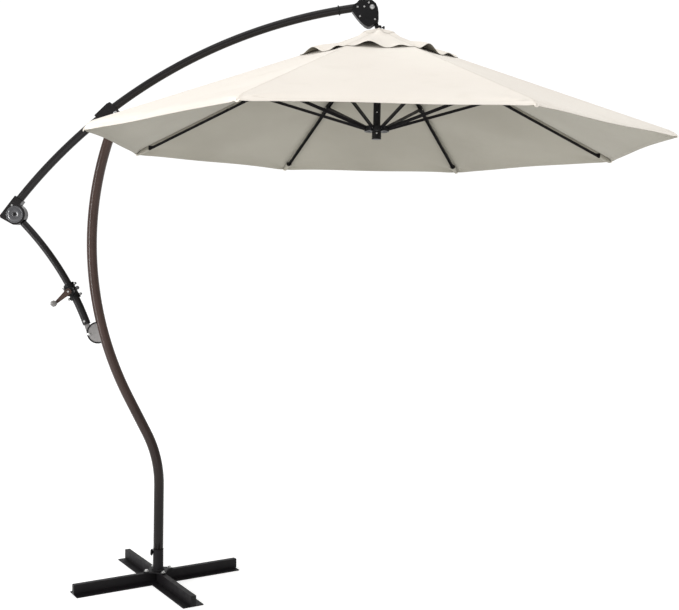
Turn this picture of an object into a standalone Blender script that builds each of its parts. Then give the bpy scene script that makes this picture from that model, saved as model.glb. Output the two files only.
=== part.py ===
"""Cantilever patio umbrella on a cross base, modelled as an assembly of separate pieces.

Metres, +Z up. The origin is on the floor under the middle of the base. The mast, the boom and
the strut lie in the plane y = 0, and the canopy hangs on the +X side.
"""
import math

import bmesh
import bpy
from mathutils import Matrix, Vector

# ---------------------------------------------------------------- driving dimensions
GAP = 0.0004                      # clearance between pieces that touch

# base: two crossed steel hat sections, a foot plate and a post
ARM_ANGLE = math.radians(33.3)    # direction of the first beam, seen from above
BEAM_LENGTH = 0.836
BEAM_WIDTH = 0.100                # across the two flanges
BEAM_HEIGHT = 0.0510
RIDGE_WIDTH = 0.026
FLANGE_STEEL = 0.005
RIDGE_STEEL = 0.003
PLATE_DIAGONAL = 0.146
PLATE_STEEL = 0.006
BASE_BOLT_REACH = 0.060           # along each arm
POST_RADIUS = 0.025
POST_WALL = 0.003
POST_TOP = 0.158
LOCK_KNOB_Z = 0.142

# mast: a vertical foot, a short bend back, a straight slope and one long arc forward
MAST_RADIUS = 0.024
MAST_WALL = 0.002
MAST_FOOT_Z = 0.1612
MAST_BEND_Z = 0.475
MAST_BEND_RADIUS = 0.543
MAST_LEAN = math.radians(27.7)
MAST_ARC_RADIUS = 1.62
MAST_ARC_Z = 1.65                 # height where the long arc is vertical
MAST_TOP_Z = 2.212
SPIGOT_RADIUS = 0.0212
SPIGOT_FOOT_Z = 0.0600
SPIGOT_TOP_Z = 0.420

# boom: one arc from the rear knuckle to the head
BOOM_CENTRE = (1.296, 0.297)
BOOM_ARC_RADIUS = 2.517
BOOM_REAR = math.radians(142.75)
BOOM_FRONT = math.radians(98.2)
BOOM_RADIUS = 0.019
BOOM_WALL = 0.002
PIVOT_DROP = 0.032                # mast-top pivot, below the boom's centre line
PIVOT_ANGLE = math.radians(127.68)

# strut: two coaxial arc tubes that telescope between the lower bracket and the knuckle
STRUT_CENTRE = (-1.686, 0.738)
STRUT_ARC_RADIUS = 1.424
STRUT_OUTER_RADIUS = 0.0190
STRUT_INNER_RADIUS = 0.0172
STRUT_WALL = 0.0012
STRUT_FOOT = math.radians(20.9)
STRUT_COLLAR = math.radians(28.9)
STRUT_INNER_END = math.radians(27.0)
STRUT_PIVOT = (-0.342, 1.204)     # lower pivot on the mast bracket
KNUCKLE = (-0.703, 1.774)         # pivot between the boom and the strut
KNUCKLE_RADIUS = 0.050
KNUCKLE_SLACK = 0.005             # clearance of the strut's eye around the knuckle pin
HOUSING_HALF = 0.024              # half width of the knuckle and head housings
HOUSING_WALL = 0.003

# crank on the strut
CRANK_AXIS = (-0.434, 1.409)
CRANK_TIP = (-0.4975, 1.3508)

# head and canopy
TILT_PIVOT = (0.993, 2.785)
TILT_SCREW_Z = 2.694
CANOPY_X = 1.026
POLE_RADIUS = 0.0175
POLE_WALL = 0.0015
POLE_TOP_Z = 2.672
POLE_END_Z = 2.176
HUB_Z = 2.645
RUNNER_Z = 2.212
PIVOT_CIRCLE = 0.050              # radius of the rib pivots on the hub and on the runner
RIB_COUNT = 8
FIRST_RIB = math.radians(22.5)
RIB_DROP = math.atan(0.39)        # slope of an open rib
RIB_LENGTH = 1.374
RIB_WIDTH = 0.014
RIB_HEIGHT = 0.020
STAY_JOINT = 0.6547               # distance of the stay joint from the hub pivot
STAY_WIDTH = 0.010
STAY_HEIGHT = 0.014
CHANNEL_WALL = 0.0012
CANOPY_RADIUS = 1.370             # 9 ft from tip to tip
CANOPY_RIM_Z = 2.128
HEM_CURVE = 0.016                 # how far the hem curves in between two rib tips
CLOTH_THICKNESS = 0.001
CAP_RADIUS = 0.395
CAP_TOP_Z = 2.683
CAP_RIM_Z = 2.546

# ---------------------------------------------------------------- scene, collections, materials
for old in list(bpy.data.objects):
    bpy.data.objects.remove(old, do_unlink=True)

PARTS = bpy.data.collections.new("patio_umbrella")
CUTTERS = bpy.data.collections.new("cutters")
bpy.context.scene.collection.children.link(PARTS)
bpy.context.scene.collection.children.link(CUTTERS)


def material(name, colour, roughness, metallic):
    made = bpy.data.materials.new(name)
    made.use_nodes = True
    shader = made.node_tree.nodes["Principled BSDF"]
    shader.inputs["Base Color"].default_value = (*colour, 1.0)
    shader.inputs["Roughness"].default_value = roughness
    shader.inputs["Metallic"].default_value = metallic
    return made


BLACK = material("black_powder_coat", (0.012, 0.011, 0.012), 0.6, 0.0)
BRONZE = material("bronze_powder_coat", (0.095, 0.068, 0.058), 0.42, 0.3)
CHARCOAL = material("charcoal_powder_coat", (0.03, 0.028, 0.03), 0.45, 0.2)
PLASTIC = material("black_moulding", (0.015, 0.015, 0.016), 0.5, 0.0)
STEEL = material("bright_steel", (0.62, 0.62, 0.62), 0.28, 1.0)
CANVAS = material("cream_canvas", (0.93, 0.88, 0.79), 0.85, 0.0)
CORD = material("white_cord", (0.75, 0.74, 0.7), 0.8, 0.0)


def link(piece, look):
    """Puts a finished piece in the parts collection with its own copy of a material."""
    PARTS.objects.link(piece)
    piece.data.materials.clear()
    own = look.copy()
    own.name = piece.name + "_material"
    piece.data.materials.append(own)
    return piece


def as_cutter(shape):
    CUTTERS.objects.link(shape)
    shape.hide_render = True
    shape.display_type = "WIRE"
    return shape


def combine(piece, operation, *others):
    for other in others:
        step = piece.modifiers.new(operation.lower(), "BOOLEAN")
        step.operation = operation
        step.solver = "EXACT"
        step.object = as_cutter(other)
    return piece


def cut(piece, *cutters):
    return combine(piece, "DIFFERENCE", *cutters)


def fuse(piece, *others):
    return combine(piece, "UNION", *others)


def pivot(name, x, z, parent=None, azimuth=0.0, y=0.0):
    """An empty on a joint's axis; the pieces of a moving body hang on it."""
    empty = bpy.data.objects.new(name, None)
    empty.empty_display_size = 0.05
    PARTS.objects.link(empty)
    empty.matrix_world = Matrix.Translation((x, y, z)) @ Matrix.Rotation(azimuth, 4, "Z")
    bpy.context.view_layer.update()
    if parent is not None:
        hang(empty, parent)
    return empty


def hang(piece, parent):
    bpy.context.view_layer.update()
    piece.parent = parent
    piece.matrix_parent_inverse = parent.matrix_world.inverted()
    return piece


# ---------------------------------------------------------------- shape helpers
UPRIGHT = Matrix.Rotation(math.pi / 2, 4, "X")      # a drawing's x, y become world x, z
ALONG_Y = Matrix.Rotation(math.pi / 2, 4, "X")      # a turned piece's +Z end points to -Y
ALONG_X = Matrix.Rotation(math.pi / 2, 4, "Y")      # a turned piece's +Z end points to +X
ALONG_MINUS_X = Matrix.Rotation(-math.pi / 2, 4, "Y")


def on_arc(centre, radius, angle):
    return centre[0] + radius * math.cos(angle), centre[1] + radius * math.sin(angle)


def arc(centre, radius, start, end, count):
    """Evenly spaced points on an arc in a plane, both ends included."""
    return [on_arc(centre, radius, start + (end - start) * i / count) for i in range(count + 1)]


def spread(outline, factor_points):
    """Moves every point of a convex outline inwards by a distance, along its corner's bisector."""
    moved = []
    count = len(outline)
    for i in range(count):
        here = Vector(outline[i])
        before = (here - Vector(outline[i - 1])).normalized()
        after = (Vector(outline[(i + 1) % count]) - here).normalized()
        inward = Vector((-before.y - after.y, before.x + after.x)).normalized()
        half = max(0.5, inward.dot(Vector((-before.y, before.x))))
        moved.append(here + inward * factor_points / half)
    return [tuple(point) for point in moved]


def clean_mesh(curve, name):
    """Turns a curve into a welded mesh object at the same place, and removes the curve."""
    bpy.context.scene.collection.objects.link(curve)
    bpy.context.view_layer.update()
    graph = bpy.context.evaluated_depsgraph_get()
    mesh = bpy.data.meshes.new_from_object(curve.evaluated_get(graph))
    work = bmesh.new()
    work.from_mesh(mesh)
    bmesh.ops.remove_doubles(work, verts=work.verts, dist=0.00001)
    bmesh.ops.recalc_face_normals(work, faces=work.faces)
    work.to_mesh(mesh)
    work.free()
    mesh.name = name
    place = curve.matrix_world.copy()
    data = curve.data
    bpy.data.objects.remove(curve, do_unlink=True)
    bpy.data.curves.remove(data)
    solid = bpy.data.objects.new(name, mesh)
    solid.matrix_world = place
    return solid


def slab(name, loops, thickness, place=Matrix.Identity(4)):
    """A flat outline, with any holes as further loops, thickened about its own plane."""
    curve = bpy.data.curves.new(name, "CURVE")
    curve.dimensions = "2D"
    curve.fill_mode = "BOTH"
    curve.extrude = thickness / 2
    for loop in loops:
        spline = curve.splines.new("POLY")
        spline.points.add(len(loop) - 1)
        for point, (x, y) in zip(spline.points, loop):
            point.co = (x, y, 0.0, 1.0)
        spline.use_cyclic_u = True
    shape = bpy.data.objects.new(name, curve)
    shape.matrix_world = place
    return clean_mesh(shape, name)


def wall_slab(name, loops, near, far):
    """A slab drawn in world x and z, between two values of y."""
    place = Matrix.Translation((0.0, (near + far) / 2, 0.0)) @ UPRIGHT
    return slab(name, loops, far - near, place)


def turned(name, profile, steps, place=Matrix.Identity(4), closed=False):
    """A profile of (radius, height) points swept round Z; it runs down its outer side."""
    mesh = bpy.data.meshes.new(name)
    edges = [(i, i + 1) for i in range(len(profile) - 1)]
    if closed:
        edges.append((len(profile) - 1, 0))
    mesh.from_pydata([(radius, 0.0, height) for radius, height in profile], edges, [])
    shape = bpy.data.objects.new(name, mesh)
    shape.matrix_world = place
    sweep = shape.modifiers.new("turn", "SCREW")
    sweep.axis = "Z"
    sweep.angle = 2 * math.pi
    sweep.steps = steps
    sweep.render_steps = steps
    sweep.use_merge_vertices = True
    sweep.merge_threshold = 0.00005
    return shape


def ring(name, inner, outer, low, high, steps, place=Matrix.Identity(4)):
    profile = [(outer, high), (outer, low), (inner, low), (inner, high)]
    return turned(name, profile, steps, place, closed=True)


def rod(name, radius, low, high, steps, place=Matrix.Identity(4)):
    return turned(name, [(0.0, high), (radius, high), (radius, low), (0.0, low)], steps, place)


def path_curve(name, points, radius, capped, resolution):
    curve = bpy.data.curves.new(name, "CURVE")
    curve.dimensions = "3D"
    curve.bevel_depth = radius
    curve.bevel_resolution = resolution
    curve.use_fill_caps = capped
    spline = curve.splines.new("POLY")
    spline.points.add(len(points) - 1)
    for point, (x, z) in zip(spline.points, points):
        point.co = (x, 0.0, z, 1.0)
    return bpy.data.objects.new(name, curve)


def tube(name, points, radius, wall, resolution=6):
    """A hollow tube with open ends along points in the plane y = 0."""
    shape = clean_mesh(path_curve(name, points, radius, False, resolution), name)
    shell = shape.modifiers.new("wall", "SOLIDIFY")
    shell.thickness = wall
    shell.offset = -1.0
    shape.data.shade_smooth()
    return shape


def solid_rod_along(name, points, radius, resolution=4):
    return clean_mesh(path_curve(name, points, radius, True, resolution), name)


def through_bolt(name, shank, head, span, x, z, steps=12):
    """A bolt along Y with a domed head at the near side and a nut at the far side."""
    near = span / 2
    profile = [(0.0, near + 0.006), (head * 0.7, near + 0.006), (head, near + 0.003), (head, near),
               (shank, near), (shank, -near), (head, -near), (head, -near - 0.006),
               (0.0, -near - 0.006)]
    place = Matrix.Translation((x, 0.0, z)) @ ALONG_Y
    return turned(name, profile, steps, place)


def channel(name, width, height, wall, start, end, place):
    """A U section, open below, that runs along its local X."""
    mesh = bpy.data.meshes.new(name)
    work = bmesh.new()
    side = width / 2
    rim = height / 2
    section = [(-side, -rim), (-side, rim), (side, rim), (side, -rim)]
    rows = [[work.verts.new((x, y, z)) for y, z in section] for x in (start, end)]
    for i in range(len(section) - 1):
        work.faces.new((rows[0][i], rows[0][i + 1], rows[1][i + 1], rows[1][i]))
    bmesh.ops.recalc_face_normals(work, faces=work.faces)
    work.normal_update()
    top = max(work.faces, key=lambda face: face.calc_center_median().z)
    if top.normal.z < 0:
        bmesh.ops.reverse_faces(work, faces=work.faces)
    work.to_mesh(mesh)
    work.free()
    shape = bpy.data.objects.new(name, mesh)
    shape.matrix_world = place
    shell = shape.modifiers.new("wall", "SOLIDIFY")
    shell.thickness = wall
    shell.offset = -1.0
    shell.use_even_offset = True
    return shape


def circle(x, z, radius, count):
    return [on_arc((x, z), radius, 2 * math.pi * i / count) for i in range(count)]


def slotted_disc(radius, core, slot_width):
    """The outline of a hub with one open radial slot for each rib."""
    outline = []
    half = slot_width / 2
    pitch = 2 * math.pi / RIB_COUNT
    for i in range(RIB_COUNT):
        middle = FIRST_RIB + i * pitch
        along = Vector((math.cos(middle), math.sin(middle)))
        across = Vector((-along.y, along.x))
        outer = math.sqrt(radius**2 - half**2)
        inner = math.sqrt(core**2 - half**2)
        corners = [along * outer - across * half, along * inner - across * half,
                   along * inner + across * half, along * outer + across * half]
        outline += [tuple(corner) for corner in corners]
        edge = math.asin(half / radius)
        outline += arc((0.0, 0.0), radius, middle + edge, middle + pitch - edge, 4)[1:-1]
    return outline


# ---------------------------------------------------------------- base
def hat_beam(name, start, end, azimuth):
    """A flat flange with a hollow ridge along its middle, open at both ends."""
    half, ridge = BEAM_WIDTH / 2, RIDGE_WIDTH / 2
    section = [(-half, 0.0), (half, 0.0), (half, FLANGE_STEEL), (ridge, FLANGE_STEEL),
               (ridge, BEAM_HEIGHT), (-ridge, BEAM_HEIGHT), (-ridge, FLANGE_STEEL),
               (-half, FLANGE_STEEL)]
    inside, top = ridge - RIDGE_STEEL, BEAM_HEIGHT - RIDGE_STEEL
    hollow = [(-inside, FLANGE_STEEL + 0.002), (inside, FLANGE_STEEL + 0.002), (inside, top),
              (-inside, top)]
    facing = Matrix(((0, 0, 1, 0), (1, 0, 0, 0), (0, 1, 0, 0), (0, 0, 0, 1)))
    place = Matrix.Rotation(azimuth, 4, "Z") @ Matrix.Translation(((start + end) / 2, 0, 0))
    return slab(name, [section, hollow], end - start, place @ facing)


def arm_frame(index):
    return Matrix.Rotation(ARM_ANGLE + index * math.pi / 2, 4, "Z")


def bolt_hole(index, owner):
    spot = arm_frame(index) @ Matrix.Translation((BASE_BOLT_REACH, 0, 0))
    return rod("bolt_hole_%d_%s" % (index, owner), 0.0045, 0.025, 0.1, 12, spot)


def build_base():
    half = BEAM_LENGTH / 2
    beam = hat_beam("base_beam_long", -half, half, ARM_ANGLE)
    link(cut(beam, bolt_hole(0, "beam"), bolt_hole(2, "beam")), BLACK)
    for index, name in ((1, "base_beam_left"), (3, "base_beam_right")):
        azimuth = ARM_ANGLE + index * math.pi / 2
        beam = hat_beam(name, RIDGE_WIDTH / 2 + GAP, half, azimuth)
        bite = BEAM_WIDTH / 2 + GAP
        notch = [(-bite, -0.01), (bite, -0.01), (bite, FLANGE_STEEL + GAP),
                 (-bite, FLANGE_STEEL + GAP)]
        step = wall_slab(name + "_notch", [notch], -0.08, 0.08)
        step.matrix_world = Matrix.Rotation(azimuth, 4, "Z") @ step.matrix_world
        link(cut(beam, step, bolt_hole(index, "beam")), BLACK)

    plate_low = BEAM_HEIGHT + GAP
    plate_high = plate_low + PLATE_STEEL
    waist = PLATE_DIAGONAL / 2 * 0.64
    outline = []
    for i in range(4):
        corner = ARM_ANGLE + i * math.pi / 2
        outline += [on_arc((0, 0), PLATE_DIAGONAL / 2, corner - 0.13),
                    on_arc((0, 0), PLATE_DIAGONAL / 2, corner + 0.13),
                    on_arc((0, 0), waist, corner + math.pi / 4)]
    place = Matrix.Translation((0, 0, (plate_low + plate_high) / 2))
    plate = slab("base_foot_plate", [outline], PLATE_STEEL, place)
    for i in range(4):
        cut(plate, bolt_hole(i, "plate"))
        head, low = plate_high + GAP, BEAM_HEIGHT - RIDGE_STEEL - GAP
        profile = [(0.0, head + 0.006), (0.0050, head + 0.006), (0.0075, head + 0.0045),
                   (0.0075, head), (0.0040, head), (0.0040, low), (0.0065, low),
                   (0.0065, low - 0.007), (0.0, low - 0.007)]
        spot = arm_frame(i) @ Matrix.Translation((BASE_BOLT_REACH, 0, 0))
        link(turned("base_bolt_%d" % (i + 1), profile, 12, spot), STEEL)
    link(plate, BLACK)

    post = ring("base_post", POST_RADIUS - POST_WALL, POST_RADIUS, plate_high + GAP, POST_TOP, 24)
    screw_line = Matrix.Translation((0, 0, LOCK_KNOB_Z)) @ ALONG_MINUS_X
    link(cut(post, rod("post_screw_hole", 0.0044, 0.015, 0.035, 12, screw_line)), BLACK)
    washer = ring("swivel_washer", SPIGOT_RADIUS + 0.0007, POST_RADIUS + 0.001,
                  POST_TOP + GAP, MAST_FOOT_Z - GAP, 24)
    link(washer, PLASTIC)


def build_lock_knob():
    x = -POST_RADIUS
    turn = pivot("lock_knob_pivot", x, LOCK_KNOB_Z)
    profile = [(0.0, 0.0370), (0.0080, 0.0370), (0.0165, 0.0320), (0.0165, 0.0290),
               (0.0090, 0.0258), (0.0038, 0.0258), (0.0038, 0.0216), (0.0, 0.0216)]
    place = Matrix.Translation((0, 0, LOCK_KNOB_Z)) @ ALONG_MINUS_X
    hang(link(turned("swivel_lock_knob", profile, 16, place), PLASTIC), turn)


# ---------------------------------------------------------------- mast
def mast_points():
    bend_end_z = MAST_BEND_Z + MAST_BEND_RADIUS * math.sin(MAST_LEAN)
    bend_end_x = -MAST_BEND_RADIUS * (1 - math.cos(MAST_LEAN))
    arc_start_z = MAST_ARC_Z - MAST_ARC_RADIUS * math.sin(MAST_LEAN)
    arc_start_x = bend_end_x - (arc_start_z - bend_end_z) * math.tan(MAST_LEAN)
    centre = (arc_start_x + MAST_ARC_RADIUS * math.cos(MAST_LEAN), MAST_ARC_Z)
    top = math.asin((MAST_TOP_Z - MAST_ARC_Z) / MAST_ARC_RADIUS)
    points = [(0.0, MAST_FOOT_Z), (0.0, 0.30)]
    points += arc((-MAST_BEND_RADIUS, MAST_BEND_Z), MAST_BEND_RADIUS, 0.0, MAST_LEAN, 5)
    points += arc(centre, MAST_ARC_RADIUS, math.pi + MAST_LEAN, math.pi - top, 14)
    return points, centre, top


def build_mast(body):
    points, centre, top = mast_points()
    hang(link(tube("mast_tube", points, MAST_RADIUS, MAST_WALL), BRONZE), body)
    spigot = ring("mast_spigot", SPIGOT_RADIUS - 0.0025, SPIGOT_RADIUS, SPIGOT_FOOT_Z, SPIGOT_TOP_Z, 24)
    hang(link(spigot, STEEL), body)

    # top fitting: a plug in the tube's end with a tongue up to the boom pivot
    end_x, end_z = points[-1]
    last_lean = math.atan2(end_x - points[-2][0], end_z - points[-2][1])
    boom_pivot = on_arc(BOOM_CENTRE, BOOM_ARC_RADIUS - PIVOT_DROP, PIVOT_ANGLE)
    lean = Matrix.Translation((end_x, 0, end_z)) @ Matrix.Rotation(last_lean, 4, "Y")
    plug = turned("mast_top_lug", [(0.0, 0.0055), (0.0235, 0.0040), (0.0235, GAP), (0.0210, GAP),
                                   (0.0210, -0.030), (0.0, -0.030)], 16, lean)
    foot = Vector((end_x, end_z))
    tip = Vector(boom_pivot)
    along = (tip - foot).normalized()
    across = Vector((-along.y, along.x)) * 0.011
    root = foot - along * 0.004
    heading = math.atan2(along.y, along.x)
    tongue = [tuple(root + across), tuple(root - across)]
    tongue += arc(boom_pivot, 0.011, heading - math.pi / 2, heading + math.pi / 2, 8)
    fuse(plug, wall_slab("lug_tongue", [tongue], -0.0185, 0.0185))
    hole = Matrix.Translation((tip.x, 0, tip.y)) @ ALONG_Y
    hang(link(cut(plug, rod("lug_hole", 0.0044, -0.03, 0.03, 16, hole)), CHARCOAL), body)

    # lower bracket: a disc cut to hug the mast, slotted for the strut's foot
    bracket_x, bracket_z = -0.301, 1.212
    bracket = rod("strut_bracket", 0.050, -0.017, 0.017, 32,
                  Matrix.Translation((bracket_x, 0, bracket_z)) @ ALONG_Y)
    near = math.asin((MAST_ARC_Z - bracket_z) / MAST_ARC_RADIUS)
    clear = arc(centre, MAST_ARC_RADIUS, math.pi + near - 0.05, math.pi + near + 0.05, 6)
    mast_space = solid_rod_along("mast_space", clear, MAST_RADIUS + GAP, 6)
    front = [on_arc(centre, MAST_ARC_RADIUS - 0.012, math.pi + near - 0.05),
             on_arc(centre, MAST_ARC_RADIUS - 0.012, math.pi + near + 0.05)]
    front += [(front[1][0] + 0.1, front[1][1]), (front[0][0] + 0.1, front[0][1])]
    slot = [(-0.36, 1.15), (-0.3215, 1.15), (-0.3215, 1.275), (-0.38, 1.275)]
    cut(bracket, mast_space, wall_slab("bracket_front", [front], -0.03, 0.03),
        wall_slab("bracket_slot", [slot], -0.0083, 0.0083),
        rod("bracket_hole", 0.0044, -0.03, 0.03, 16,
            Matrix.Translation((STRUT_PIVOT[0], 0, STRUT_PIVOT[1])) @ ALONG_Y))
    hang(link(bracket, STEEL), body)

    hang(link(through_bolt("boom_pivot_bolt", 0.0040, 0.0085, 0.0498, tip.x, tip.y), STEEL), body)
    hang(link(through_bolt("strut_pivot_bolt", 0.0040, 0.0080, 0.0350, *STRUT_PIVOT), STEEL), body)


# ---------------------------------------------------------------- boom, saddle, knuckle and head
def boom_point(angle, outward=0.0):
    return on_arc(BOOM_CENTRE, BOOM_ARC_RADIUS + outward, angle)


def half_shell(name, outline, side, *openings):
    """One half of a housing that is split on y = 0: a tray with its rim at the parting line."""
    outer, inner = side * HOUSING_HALF, side * (HOUSING_HALF - HOUSING_WALL)
    rim = side * 0.0002
    shell = wall_slab(name, [outline], min(outer, rim), max(outer, rim))
    pocket = spread(outline, HOUSING_WALL)
    far_side = side * -0.01
    cavity = wall_slab(name + "_cavity", [pocket], min(inner, far_side), max(inner, far_side))
    return cut(shell, cavity, *openings)


def build_saddle(body):
    """The bracket that wraps over the boom and carries the pivot below it."""
    step = 1.0 / BOOM_ARC_RADIUS
    drawn = [(-0.086, 0.0225), (-0.006, 0.0300), (0.011, 0.0270), (0.018, -0.0280),
             (0.012, -0.0420), (0.000, -0.0470), (-0.012, -0.0430), (-0.056, -0.0290),
             (-0.086, -0.0240)]
    outline = [boom_point(PIVOT_ANGLE - along * step, up) for along, up in drawn]
    trough = [boom_point(PIVOT_ANGLE + (0.12 - 0.03 * i) * step, 0.0199) for i in range(7)]
    trough += [boom_point(PIVOT_ANGLE - 0.06 * step, -0.07)]
    trough += [boom_point(PIVOT_ANGLE + 0.12 * step, -0.07)]
    saddle = wall_slab("boom_saddle", [outline[::-1]], -0.0240, 0.0240)
    tip = boom_point(PIVOT_ANGLE, -PIVOT_DROP)
    cut(saddle, wall_slab("saddle_trough", [trough[::-1]], -0.0196, 0.0196),
        rod("saddle_hole", 0.0044, -0.04, 0.04, 16,
            Matrix.Translation((tip[0], 0, tip[1])) @ ALONG_Y))
    hang(link(saddle, CHARCOAL), body)


def build_knuckle(body, strut_heading):
    corner = boom_point(math.radians(141.9), 0.0225)
    outline = [corner, (-0.776, 1.767), (-0.772, 1.757), (-0.720, 1.729)]
    outline += arc(KNUCKLE, KNUCKLE_RADIUS, math.radians(-98), math.radians(62), 14)
    outline += [boom_point(math.radians(141.9), -0.0225)]
    boom_space = solid_rod_along
    sector = [KNUCKLE] + arc(KNUCKLE, 0.075, strut_heading - math.radians(41),
                             strut_heading + math.radians(17), 5)
    for side, label in ((-1, "near"), (1, "far")):
        entry = boom_space("knuckle_entry_" + label,
                           arc(BOOM_CENTRE, BOOM_ARC_RADIUS, math.radians(142.6),
                               math.radians(141.0), 3), BOOM_RADIUS + 0.0005, 6)
        slot = wall_slab("knuckle_slot_" + label, [sector], -0.0105, 0.0105)
        pin_hole = rod("knuckle_hole_" + label, 0.0054, -0.04, 0.04, 16,
                       Matrix.Translation((KNUCKLE[0], 0, KNUCKLE[1])) @ ALONG_Y)
        shell = half_shell("knuckle_shell_" + label, outline, side, entry, slot, pin_hole)
        hang(link(shell, CHARCOAL), body)
    pin = through_bolt("knuckle_pin", 0.0050, 0.0080, 2 * HOUSING_HALF + 0.001, *KNUCKLE)
    hang(link(pin, STEEL), body)


def pulley(name, x, z, radius, low, high):
    """A grooved wheel on a pin along Y, between two values of y."""
    middle, bore = (low + high) / 2, 0.0054
    profile = [(radius, -low), (radius - 0.004, -middle), (radius, -high),
               (bore, -high), (bore, -low)]
    return turned(name, profile, 20, Matrix.Translation((x, 0, z)) @ ALONG_Y, closed=True)


def build_head(body):
    outline = [(0.8985, 2.7640), (0.9170, 2.7400), (0.9370, 2.7170), (0.9600, 2.6970),
               (0.9740, 2.6910), (0.9860, 2.6920), (1.0150, 2.7120), (1.0250, 2.7250),
               (1.0240, 2.7600), (1.0200, 2.7830), (1.0100, 2.8030), (0.9920, 2.8180),
               (0.9320, 2.8180), (0.9200, 2.8040), (0.9020, 2.7930)]
    down = math.radians(-90)
    sector = [TILT_PIVOT] + arc(TILT_PIVOT, 0.14, down - math.radians(3),
                                down + math.radians(56), 5)
    for side, label in ((-1, "near"), (1, "far")):
        entry = solid_rod_along("head_entry_" + label,
                                arc(BOOM_CENTRE, BOOM_ARC_RADIUS, math.radians(99.8),
                                    math.radians(97.8), 3), BOOM_RADIUS + 0.0005, 6)
        slot = wall_slab("head_slot_" + label, [sector], -0.0112, 0.0112)
        pin_hole = rod("head_hole_" + label, 0.0054, -0.04, 0.04, 16,
                       Matrix.Translation((TILT_PIVOT[0], 0, TILT_PIVOT[1])) @ ALONG_Y)
        shell = half_shell("head_shell_" + label, outline, side, entry, slot, pin_hole)
        hang(link(shell, PLASTIC), body)
    pin = through_bolt("tilt_pin", 0.0050, 0.0080, 2 * HOUSING_HALF + 0.001, *TILT_PIVOT)
    hang(link(pin, STEEL), body)


def build_boom(body, strut_heading):
    points = arc(BOOM_CENTRE, BOOM_ARC_RADIUS, BOOM_REAR, BOOM_FRONT, 20)
    hang(link(tube("boom_tube", points, BOOM_RADIUS, BOOM_WALL), CHARCOAL), body)
    build_saddle(body)
    build_knuckle(body, strut_heading)
    build_head(body)
    inner = arc(BOOM_CENTRE, BOOM_ARC_RADIUS, math.radians(142.6), math.radians(98.8), 22)
    hang(link(solid_rod_along("lift_cord_boom", inner, 0.0015, 1), CORD), body)


# ---------------------------------------------------------------- strut and crank
def strut_arc(start, end, count):
    return arc(STRUT_CENTRE, STRUT_ARC_RADIUS, start, end, count)


def eye_bar(name, root, eye, half_height, eye_radius, hole_radius, width):
    """A flat bar with a round eye; it starts square at root."""
    root, tip = Vector(root), Vector(eye)
    along = (tip - root).normalized()
    across = Vector((-along.y, along.x)) * half_height
    heading = math.atan2(along.y, along.x)
    opening = math.acos(min(1.0, half_height / eye_radius))
    bow = arc(eye, eye_radius, heading - math.pi / 2 - opening, heading + math.pi / 2 + opening, 14)
    loops = [[tuple(root + across), tuple(root - across)] + bow]
    loops.append(circle(tip.x, tip.y, hole_radius, 16))
    return wall_slab(name, loops, -width / 2, width / 2)


def strut_plug(name, angle, depth, place_sign, radius):
    """A round plug in the end of a strut tube."""
    x, z = on_arc(STRUT_CENTRE, STRUT_ARC_RADIUS, angle)
    axis = Matrix.Translation((x, 0, z)) @ Matrix.Rotation(-angle, 4, "Y")
    low, high = sorted((-place_sign * 0.004, place_sign * depth))
    return rod(name, radius, low, high, 16, axis)


def build_strut(lower, upper):
    outer = tube("strut_lower_tube", strut_arc(STRUT_FOOT + 0.004, STRUT_COLLAR, 7),
                 STRUT_OUTER_RADIUS, STRUT_WALL)
    hang(link(outer, CHARCOAL), lower)
    bore = STRUT_OUTER_RADIUS - STRUT_WALL - GAP
    plug_at = STRUT_FOOT + 0.004
    root = on_arc(STRUT_CENTRE, STRUT_ARC_RADIUS, plug_at + 0.006)
    foot = eye_bar("strut_foot", root, STRUT_PIVOT, 0.0115, 0.0115, 0.0044, 0.0158)
    fuse(foot, strut_plug("strut_foot_plug", plug_at + 0.003, 0.022, 1, bore))
    hang(link(foot, STEEL), lower)

    tube_end = math.radians(46.5) - (KNUCKLE_RADIUS + 0.010) / STRUT_ARC_RADIUS
    inner = tube("strut_upper_tube", strut_arc(STRUT_INNER_END, tube_end, 12),
                 STRUT_INNER_RADIUS, STRUT_WALL)
    hang(link(inner, CHARCOAL), upper)
    bore = STRUT_INNER_RADIUS - STRUT_WALL - GAP
    root = on_arc(STRUT_CENTRE, STRUT_ARC_RADIUS, tube_end - 0.010)
    eye = eye_bar("strut_eye", root, KNUCKLE, 0.0110, 0.0165, 0.0050 + KNUCKLE_SLACK, 0.0160)
    fuse(eye, strut_plug("strut_eye_plug", tube_end - 0.003, 0.022, -1, bore))
    cut(eye, wall_slab("eye_fork_room", [circle(*KNUCKLE, 0.0205, 20)], -0.0055, 0.0055))
    hang(link(eye, STEEL), upper)


def build_winch(body):
    """The collar on the strut with the winch drum's round case on its near side."""
    middle = math.asin((CRANK_AXIS[1] - STRUT_CENTRE[1]) / STRUT_ARC_RADIUS)
    x, z = on_arc(STRUT_CENTRE, STRUT_ARC_RADIUS, middle)
    axis = Matrix.Translation((x, 0, z)) @ Matrix.Rotation(-middle, 4, "Y")
    half, flange, lip = 0.040, 0.026, 0.006
    sleeve = turned("crank_housing", [(flange, half), (flange, half - lip), (0.0225, half - lip),
                                      (0.0225, lip - half), (flange, lip - half), (flange, -half),
                                      (0.0200, -half), (0.0200, half)], 24, axis, closed=True)
    case_axis = Matrix.Translation((CRANK_AXIS[0], 0, CRANK_AXIS[1])) @ ALONG_Y
    fuse(sleeve, rod("winch_case", 0.0235, 0.0205, 0.0440, 24, case_axis))
    cut(sleeve, rod("winch_room", 0.0195, 0.0225, 0.0415, 24, case_axis),
        rod("winch_shaft_hole", 0.0058, 0.030, 0.050, 16, case_axis))
    hang(link(sleeve, PLASTIC), body)


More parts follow.
